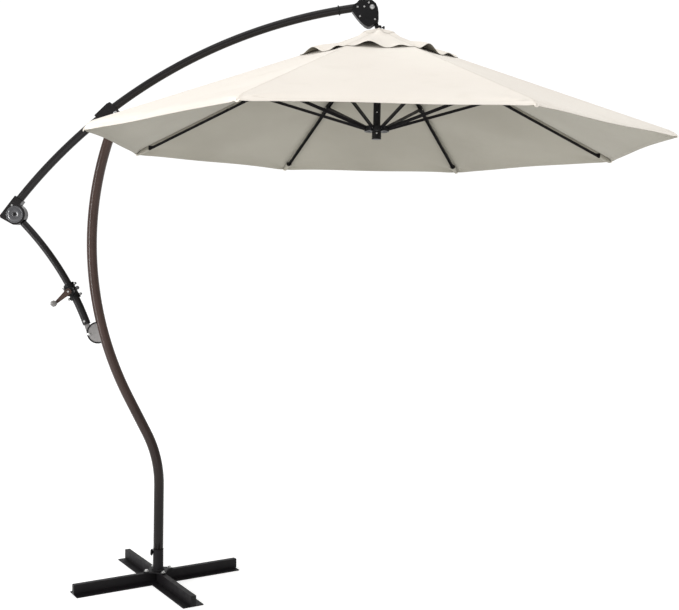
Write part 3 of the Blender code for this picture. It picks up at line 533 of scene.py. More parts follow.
def button_head(radius, height):
    """A low round screw head with a hex socket, standing on z = 0."""
    socket = radius * 0.5
    profile = [(0.0, height * 0.35), (socket, height * 0.35), (socket, height),
               (radius * 0.72, height * 0.96), (radius * 0.93, height * 0.62), (radius, height * 0.2),
               (radius, 0.0), (0.0, 0.0)]

    def shaped(reach, angle):
        if abs(reach - socket) > 1e-9:
            return reach
        turn = (angle + SECTOR) % (math.pi / 3) - math.pi / 6
        return socket * math.cos(math.pi / 6) / math.cos(turn)

    return [turned(profile, 36, radius_at=shaped)]


def fastener(name, shapes, x, z, y, body, finish=STEEL, both=True, crisp=30.0):
    """The same piece on the near side of the plane y = 0 and, if asked, on its far side."""
    placed = [shifted(shape, at(x, z, -y)) for shape in shapes]
    if both:
        placed += [shifted(shape, far_side(x, z, y)) for shape in shapes]
    fit(make(name, placed, finish, crisp=crisp), body)


# ---- CAD nodes that stay
def dress_cad_nodes():
    """Gives every CAD node its finish, soft edges and smooth shading."""
    for name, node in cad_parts.items():
        for holder in node.material_slots:
            finish = CAD_FINISHES[holder.material.name.split(".")[0]]
            holder.material = CAD_OVERRIDES.get(name, finish)
        mesh = node.data
        if "custom_normal" in mesh.attributes:
            mesh.attributes.remove(mesh.attributes["custom_normal"])
        mesh.shade_smooth()
        joined = node.modifiers.new("joined", "WELD")
        joined.merge_threshold = 0.00001
        soft = node.modifiers.new("soft_edges", "BEVEL")
        soft.width = 0.0004 if name.startswith(("rib", "stay", "winch")) else 0.0009
        soft.segments = 2
        soft.limit_method = "ANGLE"
        soft.angle_limit = math.radians(38)
        soft.harden_normals = True


# ---- base
def build_base():
    for index in range(4):
        turn = spun(ARM_ANGLE + index * math.pi / 2)
        end = turn @ moved(HALF_BEAM)
        inside = RIDGE_HALF - 0.0032
        low, high = 0.0072, RIDGE_TOP - 0.0032
        facing = Matrix(((0, 0, 1, 0), (1, 0, 0, 0), (0, 1, 0, 0), (0, 0, 0, 1)))
        flange = [(-0.0122, 0.0058), (0.0122, 0.0058), (0.0122, 0.0488), (0.0108, 0.0503),
                  (-0.0108, 0.0503), (-0.0122, 0.0488)]
        shapes = [shifted(prism(rectangle(inside, low, high), -0.018, 0.0004, 0.0006), facing),
                  shifted(prism(flange, 0.0004, 0.0026, 0.0007), facing)]
        for level in (0.0165, 0.0280, 0.0395):
            bar = rectangle(0.0082, level - 0.0009, level + 0.0009)
            shapes.append(shifted(prism(bar, 0.0022, 0.0036, 0.0004), facing))
        shapes.append(shifted(prism(rectangle(0.0009, 0.0105, 0.0455), 0.0022, 0.0034, 0.0004), facing))
        fit(make("beam_end_plug_%d" % (index + 1), shapes, PLASTIC, end), "base")
        spot = turn @ moved(BOLT_REACH, 0, PLATE_TOP + 0.0002)
        spot = spot @ spun(0.4 * index)
        head = make("base_bolt_head_%d" % (index + 1), hex_head(0.0135, 0.0085, 0.0105), STEEL, spot, 30.0)
        fit(head, "base")

    def rippled(radius, angle):
        return radius + 0.0005 * math.sin(46 * angle) * (radius > POST_RADIUS + 0.001)

    weld = [(POST_RADIUS + 0.0002, 0.0062), (POST_RADIUS + 0.0022, 0.0052),
            (POST_RADIUS + 0.0042, 0.0030), (POST_RADIUS + 0.0054, 0.0004),
            (POST_RADIUS + 0.0002, 0.0002)]
    place = moved(0, 0, PLATE_TOP)
    fit(make("post_weld_bead", [turned(weld, 184, True, rippled)], BLACK, place, 75.0), "base")

    knob = [(0.0, 0.0372), (0.0062, 0.0372), (0.0068, 0.0366), (0.0074, 0.0372), (0.0130, 0.0366),
            (0.0158, 0.0346), (0.0166, 0.0325), (0.0166, 0.0302), (0.0155, 0.0286), (0.0092, 0.0270),
            (0.0080, 0.0262), (0.0072, 0.0252), (0.0, 0.0252)]
    outwards = moved(0, 0, LOCK_KNOB_Z) @ spun(-math.pi / 2, "Y")
    shank = turned([(0.0, 0.0256), (0.0038, 0.0256), (0.0038, 0.0216), (0.0, 0.0216)], 24)
    grooved = turned(knob, 96, radius_at=fluted(8, 0.0011, 0.0150))
    piece = make("lock_knob_fluted", [grooved, shank], PLASTIC, outwards)
    fit(piece, "lock_knob", "swivel_lock_knob")


# ---- mast, boom and strut
def mast_path():
    bend_end_z = MAST_BEND_Z + MAST_BEND_RADIUS * math.sin(MAST_LEAN)
    bend_end_x = -MAST_BEND_RADIUS * (1 - math.cos(MAST_LEAN))
    arc_start_z = MAST_ARC_Z - MAST_ARC_RADIUS * math.sin(MAST_LEAN)
    arc_start_x = bend_end_x - (arc_start_z - bend_end_z) * math.tan(MAST_LEAN)
    centre = (arc_start_x + MAST_ARC_RADIUS * math.cos(MAST_LEAN), MAST_ARC_Z)
    top = math.asin((MAST_TOP_Z - MAST_ARC_Z) / MAST_ARC_RADIUS)
    straight = MAST_BEND_Z - MAST_FOOT_Z
    points = [(0.0, MAST_FOOT_Z + straight * i / 8) for i in range(8)]
    points += arc((-MAST_BEND_RADIUS, MAST_BEND_Z), MAST_BEND_RADIUS, 0.0, MAST_LEAN, 12)
    points += arc(centre, MAST_ARC_RADIUS, math.pi + MAST_LEAN, math.pi - top, 48)
    return points


def build_mast():
    tube("mast_skin", mast_path(), MAST_RADIUS, 0.002, BRONZE, "mast", "mast_tube", 64)
    fastener("boom_pivot_head", hex_head(0.0130, 0.0085, 0.0100), *BOOM_PIVOT, 0.0251, "mast")
    fastener("strut_pivot_head", hex_head(0.0120, 0.0075, 0.0092), *STRUT_PIVOT, 0.0177, "mast")
    # the bracket's black rim and the ribs pressed into its face
    shapes = []
    start, end = math.radians(82), math.radians(288)
    for y in (-0.0165, 0.0165):
        rim = [(x, y, z) for x, z in arc(BRACKET, 0.0492, start, end, 40)]
        shapes.append(swept(rim, 0.0038, 12))
    band = []
    for x, z in arc(BRACKET, 0.0503, start, end, 40):
        out = Vector((x - BRACKET[0], 0, z - BRACKET[1])).normalized() * 0.0010
        band.append([Vector((x, y, z)) + out * s for y, s in
                     ((-0.0165, 0), (-0.0165, 1), (0.0165, 1), (0.0165, 0))])
    shapes.append(loft(band, capped=True))
    fit(make("bracket_rim", shapes, FRAME_BLACK), "mast")
    shapes = []
    for side in (-1, 1):
        place = at(*BRACKET, -0.0170) if side < 0 else far_side(*BRACKET, 0.0170)
        for angle in (110, 137, 164, 205, 238, 268):
            spoke = math.radians(angle) * (1 if side < 0 else -1)
            bar = [Vector(on_arc((0, 0), reach, spoke + lean))
                   for reach, lean in ((0.020, -0.06), (0.044, -0.035), (0.044, 0.035), (0.020, 0.06))]
            shapes.append(shifted(prism(bar, -0.0004, 0.0010, 0.0005), place))
    fit(make("bracket_face_ribs", shapes, CAST), "mast")


def build_boom():
    points = arc(BOOM_CENTRE, BOOM_ARC_RADIUS, BOOM_REAR, BOOM_FRONT, 90)
    tube("boom_skin", points, BOOM_RADIUS, 0.002, CHARCOAL, "boom", "boom_tube", 56)
    # round covers over the knuckle
    cover = [(0.0, 0.0052), (0.0085, 0.0052), (0.0095, 0.0044), (0.0125, 0.0040), (0.0150, 0.0052),
             (0.0240, 0.0060), (0.0320, 0.0052), (0.0350, 0.0034), (0.0362, 0.0044), (0.0395, 0.0042),
             (0.0408, 0.0028), (0.0410, 0.0), (0.0, 0.0)]
    fastener("knuckle_covers", [turned(cover, 72)], *KNUCKLE, HOUSING_HALF, "boom", GLOSS, crisp=50.0)
    fastener("knuckle_pin_heads", hex_head(0.0120, 0.0060, 0.0085), *KNUCKLE, 0.0292, "boom", FRAME_BLACK)
    fastener("knuckle_screws", button_head(0.0050, 0.0026), -0.7165, 1.8175, HOUSING_HALF, "boom")
    # head housing: moulded rims and screws
    outline = [(0.9085, 2.7640), (0.9250, 2.7440), (0.9440, 2.7230), (0.9640, 2.7060), (0.9750, 2.7005),
               (0.9850, 2.7010), (1.0080, 2.7170), (1.0160, 2.7270), (1.0150, 2.7590), (1.0110, 2.7800),
               (1.0020, 2.7965), (0.9890, 2.8085), (0.9360, 2.8085), (0.9270, 2.7980), (0.9110, 2.7870)]
    rounded = []
    for i, here in enumerate(outline):
        before, after = Vector(outline[i - 1]), Vector(outline[(i + 1) % len(outline)])
        here = Vector(here)
        rounded += [here.lerp(before, 0.25), here * 0.9 + (before + after) * 0.05, here.lerp(after, 0.25)]
    shapes = []
    for y in (-HOUSING_HALF, HOUSING_HALF):
        shapes.append(swept([(x, y, z) for x, z in rounded], 0.0016, 10, True))
        ring = [(x, y, z) for x, z in arc(TILT_PIVOT, 0.0150, 0.0, math.tau, 36)[:-1]]
        shapes.append(swept(ring, 0.0014, 10, True))
    fit(make("head_moulded_rims", shapes, PLASTIC, crisp=80.0), "boom")
    fastener("tilt_pin_heads", hex_head(0.0150, 0.0062, 0.0115), *TILT_PIVOT, HOUSING_HALF, "boom")
    for number, (x, z) in enumerate(((0.9770, 2.8050), (0.9240, 2.7840), (0.9360, 2.7400),
                                     (1.0070, 2.7270), (0.9560, 2.7860)), 1):
        fastener("head_screw_%d" % number, button_head(0.0046, 0.0024), x, z, HOUSING_HALF, "boom")
    # collar that closes the head on the boom
    spot = on_arc(BOOM_CENTRE, BOOM_ARC_RADIUS, math.radians(100.55))
    lean = moved(spot[0], 0, spot[1]) @ spun(math.radians(90 - 10.55), "Y")
    band = [(0.0225, 0.0035), (0.0232, 0.0028), (0.0232, -0.0028), (0.0225, -0.0035),
            (0.0194, -0.0035), (0.0194, 0.0035)]
    fit(make("head_entry_collar", [turned(band, 56, True)], PLASTIC, lean), "boom")


def build_strut():
    for end, low, high, count, radius in (
            ("lower", STRUT_FOOT + 0.004, STRUT_COLLAR, 26, STRUT_OUTER_RADIUS),
            ("upper", STRUT_INNER_END, STRUT_HEAD - 0.0515 / STRUT_ARC_RADIUS, 44, STRUT_INNER_RADIUS)):
        body = "strut_" + end
        points = arc(STRUT_CENTRE, STRUT_ARC_RADIUS, low, high, count)
        tube(body + "_skin", points, radius, 0.0012, CHARCOAL, body, body + "_tube")
    fastener("strut_foot_rivet", button_head(0.0055, 0.0026), -0.3665, 1.2660, 0.0182, "strut_lower")

    # collar: clamp lugs with their screws, grip ribs and the winch's release button
    middle = math.asin((CRANK_AXIS[1] - STRUT_CENTRE[1]) / STRUT_ARC_RADIUS)
    x, z = on_arc(STRUT_CENTRE, STRUT_ARC_RADIUS, middle)
    axis = moved(x, 0, z) @ spun(-middle, "Y")
    shapes = []
    for level in (-0.0285, 0.0285):
        for side in (-1, 1):
            lug = [(side * 0.0215, -0.0065), (side * 0.0345, -0.0050), (side * 0.0365, 0.0),
                   (side * 0.0345, 0.0050), (side * 0.0215, 0.0065)]
            lug = lug if side > 0 else lug[::-1]
            standing = moved(0, 0, level) @ UPRIGHT
            shapes.append(shifted(prism(lug, -0.0075, 0.0075, 0.0010), standing))
    for i in range(18):
        angle = math.radians(100 + 160 * i / 17) - math.pi / 2
        if math.sin(angle) > -0.55:
            rib = [(0.0224, -0.0009), (0.0238, -0.0006), (0.0238, 0.0006), (0.0224, 0.0009)]
            shapes.append(shifted(prism(rib, -0.030, 0.030, 0.0004), spun(angle)))
    fit(make("collar_lugs", shapes, PLASTIC, axis), "strut_lower")
    ball = [(0.0, 0.0095), (0.0042, 0.0085), (0.0074, 0.0060), (0.0092, 0.0020), (0.0095, -0.0015),
            (0.0078, -0.0050), (0.0060, -0.0070), (0.0060, -0.0100), (0.0, -0.0100)]
    facing = axis @ moved(0.0305, 0, 0.004) @ spun(math.pi / 2, "Y")
    fit(make("winch_release_button", [turned(ball, 40)], GLOSS, facing), "strut_lower")
    screws = []
    for level in (-0.0285, 0.0285):
        for side in (-0.0295, 0.0295):
            spot = axis @ moved(side, -0.0074, level) @ UPRIGHT
            screws += [shifted(shape, spot) for shape in button_head(0.0042, 0.0022)]
    fit(make("collar_screws", screws, STEEL), "strut_lower")
    case = [(0.0064, 0.0014), (0.0150, 0.0014), (0.0160, 0.0006), (0.0205, 0.0006), (0.0212, 0.0014),
            (0.0226, 0.0008), (0.0226, 0.0), (0.0064, 0.0)]
    fit(make("winch_case_face", [turned(case, 56, True)], PLASTIC, at(*CRANK_AXIS, -0.0441)), "strut_lower")

    build_crank()


def build_crank():
    hub, tip = Vector(CRANK_AXIS), Vector(CRANK_TIP)
    along = tip - hub
    heading = math.atan2(along.y, along.x)
    place = at(*CRANK_AXIS) @ spun(heading)
    reach = along.length

    def outline(hub_radius, tip_radius, count=14):
        lean = math.asin((hub_radius - tip_radius) / reach)
        points = arc((0, 0), hub_radius, math.pi / 2 - lean, 3 * math.pi / 2 + lean, count)
        return points + arc((reach, 0), tip_radius, -math.pi / 2 + lean, math.pi / 2 - lean, count // 2)

    levels = ((0.0012, 0.0466), (0.0, 0.0474), (0.0, 0.0532), (0.0014, 0.0545), (0.0032, 0.0545),
              (0.0042, 0.0534))
    rows = [[(x, y, level) for x, y in outline(0.0150 - shrink, 0.0062 - shrink * 0.8)]
            for shrink, level in levels]
    arm = loft(rows, capped=True)
    boss = turned([(0.0, 0.0565), (0.0055, 0.0565), (0.0075, 0.0555), (0.0082, 0.0530), (0.0, 0.0530)], 40)
    fit(make("crank_arm_formed", [arm, boss], BRONZE, place, 30.0), "crank", "crank_arm")
    fastener("crank_hub_screw", button_head(0.0046, 0.0020), *CRANK_AXIS, 0.0565, "crank", both=False)

    grip = [(0.0, 0.0838), (0.0040, 0.0838), (0.0046, 0.0832), (0.0052, 0.0842), (0.0100, 0.0838),
            (0.0138, 0.0812), (0.0156, 0.0765), (0.0158, 0.0712), (0.0146, 0.0660), (0.0124, 0.0612),
            (0.0098, 0.0575), (0.0082, 0.0552), (0.0, 0.0552)]
    shape = turned(grip, 80, radius_at=fluted(10, 0.0006, 0.0125))
    # the knob's light grey is partly a painted highlight for the shine on its end
    piece = make("crank_knob_grip", [shape], GREY_PAINTED_HIGHLIGHT, at(*CRANK_TIP), 50.0)
    fit(piece, "crank_knob", "crank_knob")


# ---- canopy frame
def rib_azimuth(rib):
    return FIRST_RIB + (rib - 1) * SECTOR


def rib_place(rib):
    """Local X runs out along the rib from its hub pivot, Y across it, and Z away from its back."""
    return (moved(CANOPY_X) @ spun(rib_azimuth(rib))
            @ moved(PIVOT_CIRCLE, 0, HUB_Z) @ spun(RIB_DROP, "Y"))


def across_pin(radius, half, head):
    """A pin along local Y with a domed head at each end."""
    profile = [(0.0, half + 0.0016), (head * 0.55, half + 0.0014), (head, half + 0.0004), (head, half),
               (radius, half), (radius, -half), (head, -half), (head, -half - 0.0004),
               (head * 0.55, -half - 0.0014), (0.0, -half - 0.0016)]
    return shifted(turned(profile, 24), UPRIGHT)


def build_canopy_frame():
    for rib in RIBS:
        place = rib_place(rib)
        joint = place @ moved(STAY_JOINT)
        cheek = [(-0.026, -0.0020), (-0.018, -0.0125), (-0.004, -0.0160), (0.010, -0.0150),
                 (0.024, -0.0060), (0.027, 0.0030), (0.024, 0.0090), (-0.024, 0.0090), (-0.027, 0.0040)]
        sides = [shifted(prism(cheek, low, low + 0.0022, 0.0005), UPRIGHT) for low in (-0.0096, 0.0074)]
        fit(make("stay_joint_cheeks_%d" % rib, sides, PLASTIC, joint), "rib_%d" % rib)
        spot = moved(CANOPY_X, 0, RUNNER_Z) @ spun(rib_azimuth(rib)) @ moved(PIVOT_CIRCLE)
        for name, sizes, where, body in (
                ("stay_joint_pin_%d", (0.0022, 0.0097, 0.0042), joint, "rib_%d" % rib),
                ("hub_pin_%d", (0.0020, 0.0072, 0.0034), place, "rib_%d" % rib),
                ("runner_pin_%d", (0.0018, 0.0050, 0.0034), spot, "runner")):
            fit(make(name % rib, [across_pin(*sizes)], STEEL, where), body)
    collar = [(0.0222, 0.0020), (0.0232, 0.0012), (0.0232, -0.0012), (0.0222, -0.0020), (0.0214, -0.0020),
              (0.0214, 0.0020)]
    bands = [shifted(turned(collar, 56, True), moved(CANOPY_X, 0, z))
             for z in (2.1655, 2.1770)]
    fit(make("runner_collars", bands, PLASTIC), "runner")
    fastener("runner_screw", button_head(0.0040, 0.0020), CANOPY_X, 2.1915, 0.0219, "runner")
    fastener("pole_screw", button_head(0.0034, 0.0016), CANOPY_X, 2.2910, POLE_RADIUS - 0.0002,
             "canopy_head")

    knob = [(0.0, 0.0153), (0.0040, 0.0153), (0.0070, 0.0142), (0.0078, 0.0122), (0.0078, 0.0096),
            (0.0064, 0.0076), (0.0036, 0.0066), (0.0033, 0.0004), (0.0, 0.0004)]
    outwards = moved(CANOPY_X + 0.0139, 0, TILT_SCREW_Z) @ spun(math.pi / 2, "Y")
    shape = turned(knob, 72, radius_at=fluted(9, 0.0005, 0.0065))
    piece = make("tilt_screw_grip", [shape], PLASTIC, outwards)
    fit(piece, "tilt_screw", "tilt_lock_screw")

    drop = [(1.0075, 0, 2.7855), (CANOPY_X - 0.0012, 0, 2.634), (CANOPY_X, 0, 2.60)]
    drop += [(CANOPY_X, 0, 2.60 - 0.43 * i / 16) for i in range(1, 17)]
    cord = make("lift_cord_stretch", [swept(drop, 0.0015, 10)], CORD, crisp=80.0)
    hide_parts("lift_cord_drop")
    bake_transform(cord)


# ---- cloth
def panel_mix(panel, phase):
    """A repeatable value from 0 to 1 that differs between panels."""
    return 0.5 + 0.5 * math.sin(2.4 * panel + phase)


HEM_DROOP = (0.0065, 0.0065, 0.0065, 0.0130, 0.0270, 0.0140, 0.0140, 0.0130)     # at each rib's tip


def panel_before(rib):
    """The panel on the other side of a rib; panel n runs from rib n to the next rib."""
    return (rib - 2) % 8 + 1


def canopy_point(panel, reach, u):
    """The cloth's middle; u runs from 0 at one rib to 1 at the next, reach is level, at a rib."""
    first = rib_azimuth(panel)
    bow = 4 * u * (1 - u)
    share = reach / CANOPY_RADIUS
    plan = (heading(first) * reach).lerp(heading(first + SECTOR) * reach, u)
    plan -= heading(first + SECTOR / 2) * HEM_CURVE * share**2.2 * bow
    height = HUB_Z - (reach - PIVOT_CIRCLE) * RIB_SLOPE + CLOTH_LIFT
    height -= SAG * math.sin(math.pi * min(1.0, max(0.0, (reach - 0.12) / 1.25))) * bow
    droop = HEM_DROOP[(panel - 1) % 8] * (1 - u) + HEM_DROOP[panel % 8] * u
    rib_end = 1.336 - 0.055 * eased(bow, 0.1, 0.7)
    height -= droop * max(0.0, (reach - rib_end) / (CANOPY_RADIUS - rib_end)) ** 1.6
    # slack waves across the panel, and puckers that run out from the rib tips
    wave = math.sin(math.tau * (1.3 * u + 0.8 * reach) + 5 * panel_mix(panel, 0.4))
    height += 0.0022 * wave * bow * share
    side = min(u, 1 - u) * 2 * reach * math.sin(SECTOR / 2)
    inwards = CANOPY_RADIUS - reach
    away = math.hypot(side, inwards)
    fan = math.cos(7 * math.atan2(side, inwards + 0.01))
    height += 0.0028 * fan * math.exp(-(away / 0.15) ** 2) * min(1.0, side / 0.03)
    return Vector((CANOPY_X + plan.x, plan.y, height))


HUMPS = ((0.34, 0.027), (0.34, 0.036), (0.27, 0.030))     # middle and height of the large fold
PLEATS = (0.011, 0.013, 0.011, 0.005, 0.013, 0.020, 0.013, 0.005)


def cap_point(panel, reach, u):
    """The vent cap's middle: close over the canopy, with folds that lift its rim."""
    point = canopy_point(panel, reach, u)
    middle, height = HUMPS[panel % 3]

    def fold(centre, half, rise):
        near = abs(u - centre) / half
        return rise * math.cos(near * math.pi / 2) ** 2 if near < 1 else 0.0

    rim = eased(reach, 0.13, CAP_RADIUS) ** 1.5
    lift = (fold(middle, 0.26, height) + fold(0.79, 0.17, height * 0.40)) * rim
    pleat = PLEATS[panel - 1] * math.sin(math.pi * u) ** 3 * math.exp(-(((reach - 0.098) / 0.050) ** 2))
    tent = 0.0065 * max(0.0, (0.20 - reach) / 0.15) ** 1.3
    point.z += 0.0036 + tent + lift + pleat
    return point


def crown_point(panel, reach, u):
    """The reinforcing patch round the neck, over the inner rim of the vent cap."""
    joined = 0.062
    point = cap_point(panel, max(reach, joined), u)
    if reach < joined:
        share = (joined - reach) / (joined - CROWN_HOLE)
        flat_plan = Vector((point.x - CANOPY_X, point.y)) * (reach / joined)
        plan = flat_plan.lerp(heading(rib_azimuth(panel) + SECTOR * u) * reach, share)
        point.x, point.y = CANOPY_X + plan.x, plan.y
        point.z += (2.6815 - point.z) * share**1.4
        point.z += 0.0022 * math.sin(math.tau * (2 * u + 0.2 * panel)) * math.sin(math.pi * share)
    point.z += 0.0026
    return point


def cloth_normal(surface, panel, reach, u):
    step = 0.0004
    outwards = surface(panel, reach + step, u) - surface(panel, reach - step, u)
    low, high = max(0.0, u - 0.002), min(1.0, u + 0.002)
    sideways = surface(panel, reach, high) - surface(panel, reach, low)
    return outwards.cross(sideways).normalized()


def lay_uv(mesh, flat_at):
    """Fills both UV layers; flat_at gives a vertex's place in the gore's layer and in the hem's."""
    for index, layer in enumerate(("gore", "hem")):
        uv = mesh.uv_layers.new(name=layer)
        for corner in mesh.loops:
            uv.data[corner.index].uv = flat_at(mesh.vertices[corner.vertex_index])[index]


def gore(name, rib, surface, reaches, hem_start, columns, seam_rise):
    """One closed cloth panel over a rib, from the middle of one panel to the middle of the next."""
    half = math.sin(SECTOR / 2)
    slant = 1 / math.cos(RIB_DROP)
    seam_edge, seam_foot = 0.0052, 0.0064
    top_points, under_points, normals, flats = [], [], [], []
    for reach in reaches:
        edge = reach * half
        steps = [0.0, seam_edge, seam_foot]
        steps += [seam_foot + (edge - seam_foot) * (j / columns) ** 1.2 for j in range(1, columns + 1)]
        stations = [-step for step in reversed(steps[1:])] + steps
        hemmed = 0.0006 if reach >= hem_start else 0.0
        if reach == reaches[-1]:
            hemmed -= 0.0007
        for offset in stations:
            panel, u = rib, abs(offset) / (2 * edge)
            if offset < 0:
                panel, u = panel_before(rib), 1 - u
            point, normal = surface(panel, reach, u), cloth_normal(surface, panel, reach, u)
            if offset == 0:
                beside = cloth_normal(surface, panel_before(rib), reach, 1.0)
                normal = (normal + beside).normalized()
            rise = seam_rise if abs(offset) <= seam_edge + 1e-9 else 0.0
            top_points.append(point + normal * (CLOTH / 2 + hemmed + rise))
            under_points.append(point - normal * (CLOTH / 2 + hemmed * 0.5 + rise * 0.3))
            normals.append(normal)
            flats.append(((reach * slant, offset), (offset + rib, (reaches[-1] - reach) * slant)))
    width, count = len(stations), len(reaches)
    total = width * count
    faces, slots = [], []
    for i in range(count - 1):
        for j in range(width - 1):
            a, d = i * width + j, (i + 1) * width + j
            b, c = a + 1, d + 1
            faces += [(d, c, b, a), (total + b, total + c, total + d, total + a)]
            slots += [0, 1]
    rim = list(range(width)) + [i * width + width - 1 for i in range(1, count)]
    rim += [(count - 1) * width + j for j in range(width - 2, -1, -1)]
    rim += [i * width for i in range(count - 2, 0, -1)]
    for k, here in enumerate(rim):
        there = rim[(k + 1) % len(rim)]
        faces.append((here, there, total + there, total + here))
        slots.append(0)
    mesh = bpy.data.meshes.new(name)
    mesh.from_pydata([tuple(p) for p in top_points + under_points], [], faces)
    mesh.materials.append(CANVAS_TOP)
    # the underside faces get the underside canvas, painted darker grey as shade
    mesh.materials.append(CANVAS_UNDER_PAINTED_SHADE)
    mesh.polygons.foreach_set("material_index", slots)
    lay_uv(mesh, lambda vertex: flats[vertex.index % total])
    mesh.shade_smooth()
    mesh.normals_split_custom_set_from_vertices([tuple(n) for n in normals] + [tuple(-n) for n in normals])
    return fit(add_object(name, mesh), "rib_%d" % rib)


def spaced(start, end, count):
    return [start + (end - start) * i / count for i in range(count + 1)]


def hem_rows(edge, count, start):
    """Rows out to a hem: even ones, then close ones over the folded edge."""
    return spaced(start, edge - 1.8 * HEM, count) + [edge - HEM, edge - HEM + 0.0012, edge - HEM / 2,
                                                     edge - 0.004, edge - 0.0010, edge]


def build_gores(name, surface, radius, rows, columns, seam_rise, replaced):
    """Eight gores of one cloth, which fold with the ribs; each rides its rib, and the CAD node named by
    replaced is hidden.
    """
    for rib in RIBS:
        piece = gore(name % rib, rib, surface, rows, radius - HEM + 0.001, columns, seam_rise)
        if rib == 1:
            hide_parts(replaced)
        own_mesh(piece)


def build_canopy():
    build_gores("canopy_gore_%d", canopy_point, CANOPY_RADIUS, hem_rows(CANOPY_RADIUS, 34, 0.10), 14,
                0.0009, "canopy_cloth")
    build_gores("vent_cap_gore_%d", cap_point, CAP_RADIUS, hem_rows(CAP_RADIUS, 22, 0.060), 12,
                0.0007, "vent_cap")
    build_crown()
    for rib in RIBS:
        build_pocket(rib)
        build_corner_tab(rib)
        for side in (-1, 1):
            build_seam_flap(rib, side)


def build_crown():
    reaches = spaced(CROWN_HOLE, CROWN_RADIUS, 16)
    upper, lower = [], []
    for reach in reaches:
        ring = [crown_point(panel, reach, i / 16) for panel in RIBS for i in range(16)]
        up = Vector((0, 0, CLOTH / 2 - (0.0004 if reach == reaches[-1] else 0.0)))
        upper.append([point + up for point in ring])
        lower.append([point - up for point in ring])
    crown = make("cap_crown_patch", [loft(upper + lower[::-1], loop=True)], CANVAS_TOP, crisp=80.0)

    def flat(vertex):
        x, y = vertex.co.x - CANOPY_X, vertex.co.y
        return (vertex.co.x, y + 0.5), (math.atan2(y, x) * 0.08, 0.110 - math.hypot(x, y))

    lay_uv(crown.data, flat)
    fit(crown, "canopy_head")


def below_cloth(rib, reach, offset, gap):
    """A point under the canopy cloth, a distance to the side of a rib's line."""
    panel = rib if offset >= 0 else panel_before(rib)
    u = abs(offset) / (2 * reach * math.sin(SECTOR / 2))
    u = u if offset >= 0 else 1 - u
    return canopy_point(panel, reach, u) - cloth_normal(canopy_point, panel, reach, u) * gap


def build_pocket(rib):
    """The cloth pocket, sewn under a corner, that the rib's tip sits in."""
    sections = ((POCKET_START, 0.0200, 0.0232), (1.2940, 0.0192, 0.0236), (1.3100, 0.0170, 0.0240),
                (1.3300, 0.0155, 0.0238), (1.3450, 0.0140, 0.0215), (1.3560, 0.0115, 0.0170),
                (1.3630, 0.0080, 0.0120), (1.3670, 0.0040, 0.0070), (1.3685, 0.0012, 0.0030))
    fabric = 0.0011
    rows = []
    for number, (reach, half, depth) in enumerate(sections):
        outer, inner = [], []
        for i in range(21):
            angle = math.pi * i / 20
            side = math.copysign(abs(math.cos(angle)) ** 0.8, math.cos(angle))
            crease = 0.0007 * math.sin(4 * angle + 1.3 * number + rib) * math.sin(angle)
            base = below_cloth(rib, reach, half * side, 0.0014)
            hang = (depth - 0.0014) * math.sin(angle) ** 0.75 + crease
            outer.append(base - Vector((0, 0, hang + fabric)))
            narrow = below_cloth(rib, reach, half * side * (1 - fabric / max(half, 0.003)), 0.0014)
            inner.append(narrow - Vector((0, 0, max(0.0, hang))))
        rows.append(outer + inner[::-1])
    # the pocket hangs under the canopy, in the underside canvas painted darker grey as shade
    pocket = make("rib_pocket_%d" % rib, [loft(rows, capped=True)], CANVAS_UNDER_PAINTED_SHADE, crisp=60.0)
    along_rib_uv(pocket, rib, POCKET_START)
    fit(pocket, "rib_%d" % rib)
    # its length seen from above, its girth at each section, and the area under its taper
    length, area = sections[-1][0] - POCKET_START, 0.0
    girths = [1.45 * (half + depth) for _, half, depth in sections]
    for i in range(1, len(sections)):
        area += (girths[i - 1] + girths[i]) / 2 * (sections[i][0] - sections[i - 1][0])


def build_corner_tab(rib):
    """The rounded end of the corner's reinforcement, folded round under the hem."""
    outline = [(-TAB_WIDTH / 2, 0.0030), (-0.0112, -0.0010)]
    outline += arc((0, 0.0015), 0.0105, math.radians(196), math.radians(344), 14)
    outline += [(0.0112, -0.0010), (TAB_WIDTH / 2, 0.0030)]
    tip = below_cloth(rib, CANOPY_RADIUS - 0.0022, 0.0, 0.0)
    facing = spun(rib_azimuth(rib) + math.pi / 2) @ spun(math.radians(80), "X")
    place = moved(*(tip - Vector((0, 0, 0.0012)))) @ facing
    shape = prism(outline, -0.0012, 0.0012, 0.0009)
    tab = make("corner_tab_%d" % rib, [shape], CANVAS_TOP, place, 60.0)
    along_rib_uv(tab, rib, 1.40)
    fit(tab, "rib_%d" % rib)


def along_rib_uv(piece, rib, start):
    back = rib_place(rib).inverted()

    def flat(vertex):
        spot = back @ vertex.co
        return (spot.x, spot.y + 0.5), (spot.y, spot.x - start)

    lay_uv(piece.data, flat)


def build_seam_flap(rib, side):
    """The trimmed seam allowance that hangs beside a rib."""
    rows = []
    for i in range(29):
        reach = FLAP_START + FLAP_LENGTH * i / 28
        tall = FLAP_DEPTH * min(1.0, i / 1.5, (28 - i) / 1.0) + 0.0014
        sway = 0.0006 * math.sin(2.1 * i + rib) + 0.0005 * math.sin(0.7 * i)
        lean = Vector((-math.sin(rib_azimuth(rib)), math.cos(rib_azimuth(rib)), 0)) * side
        row = []
        for inset, drop in ((0.0002, 0.0014), (0.0, tall * 0.5), (0.0006, tall), (0.0012, tall + 0.0003),
                            (0.0016, tall), (0.0012, tall * 0.5), (0.0014, 0.0014)):
            base = below_cloth(rib, reach, side * (0.0086 + inset), 0.0)
            row.append(base - Vector((0, 0, drop)) + lean * (sway * drop / 0.009))
        rows.append(row)
    name = "seam_allowance_%d_%s" % (rib, "a" if side > 0 else "b")
    # the flap hangs under the canopy, in the underside canvas painted darker grey as shade
    flap = make(name, [loft(rows, capped=True)], CANVAS_UNDER_PAINTED_SHADE, crisp=60.0)
    along_rib_uv(flap, rib, 0.7)
    fit(flap, "rib_%d" % rib)


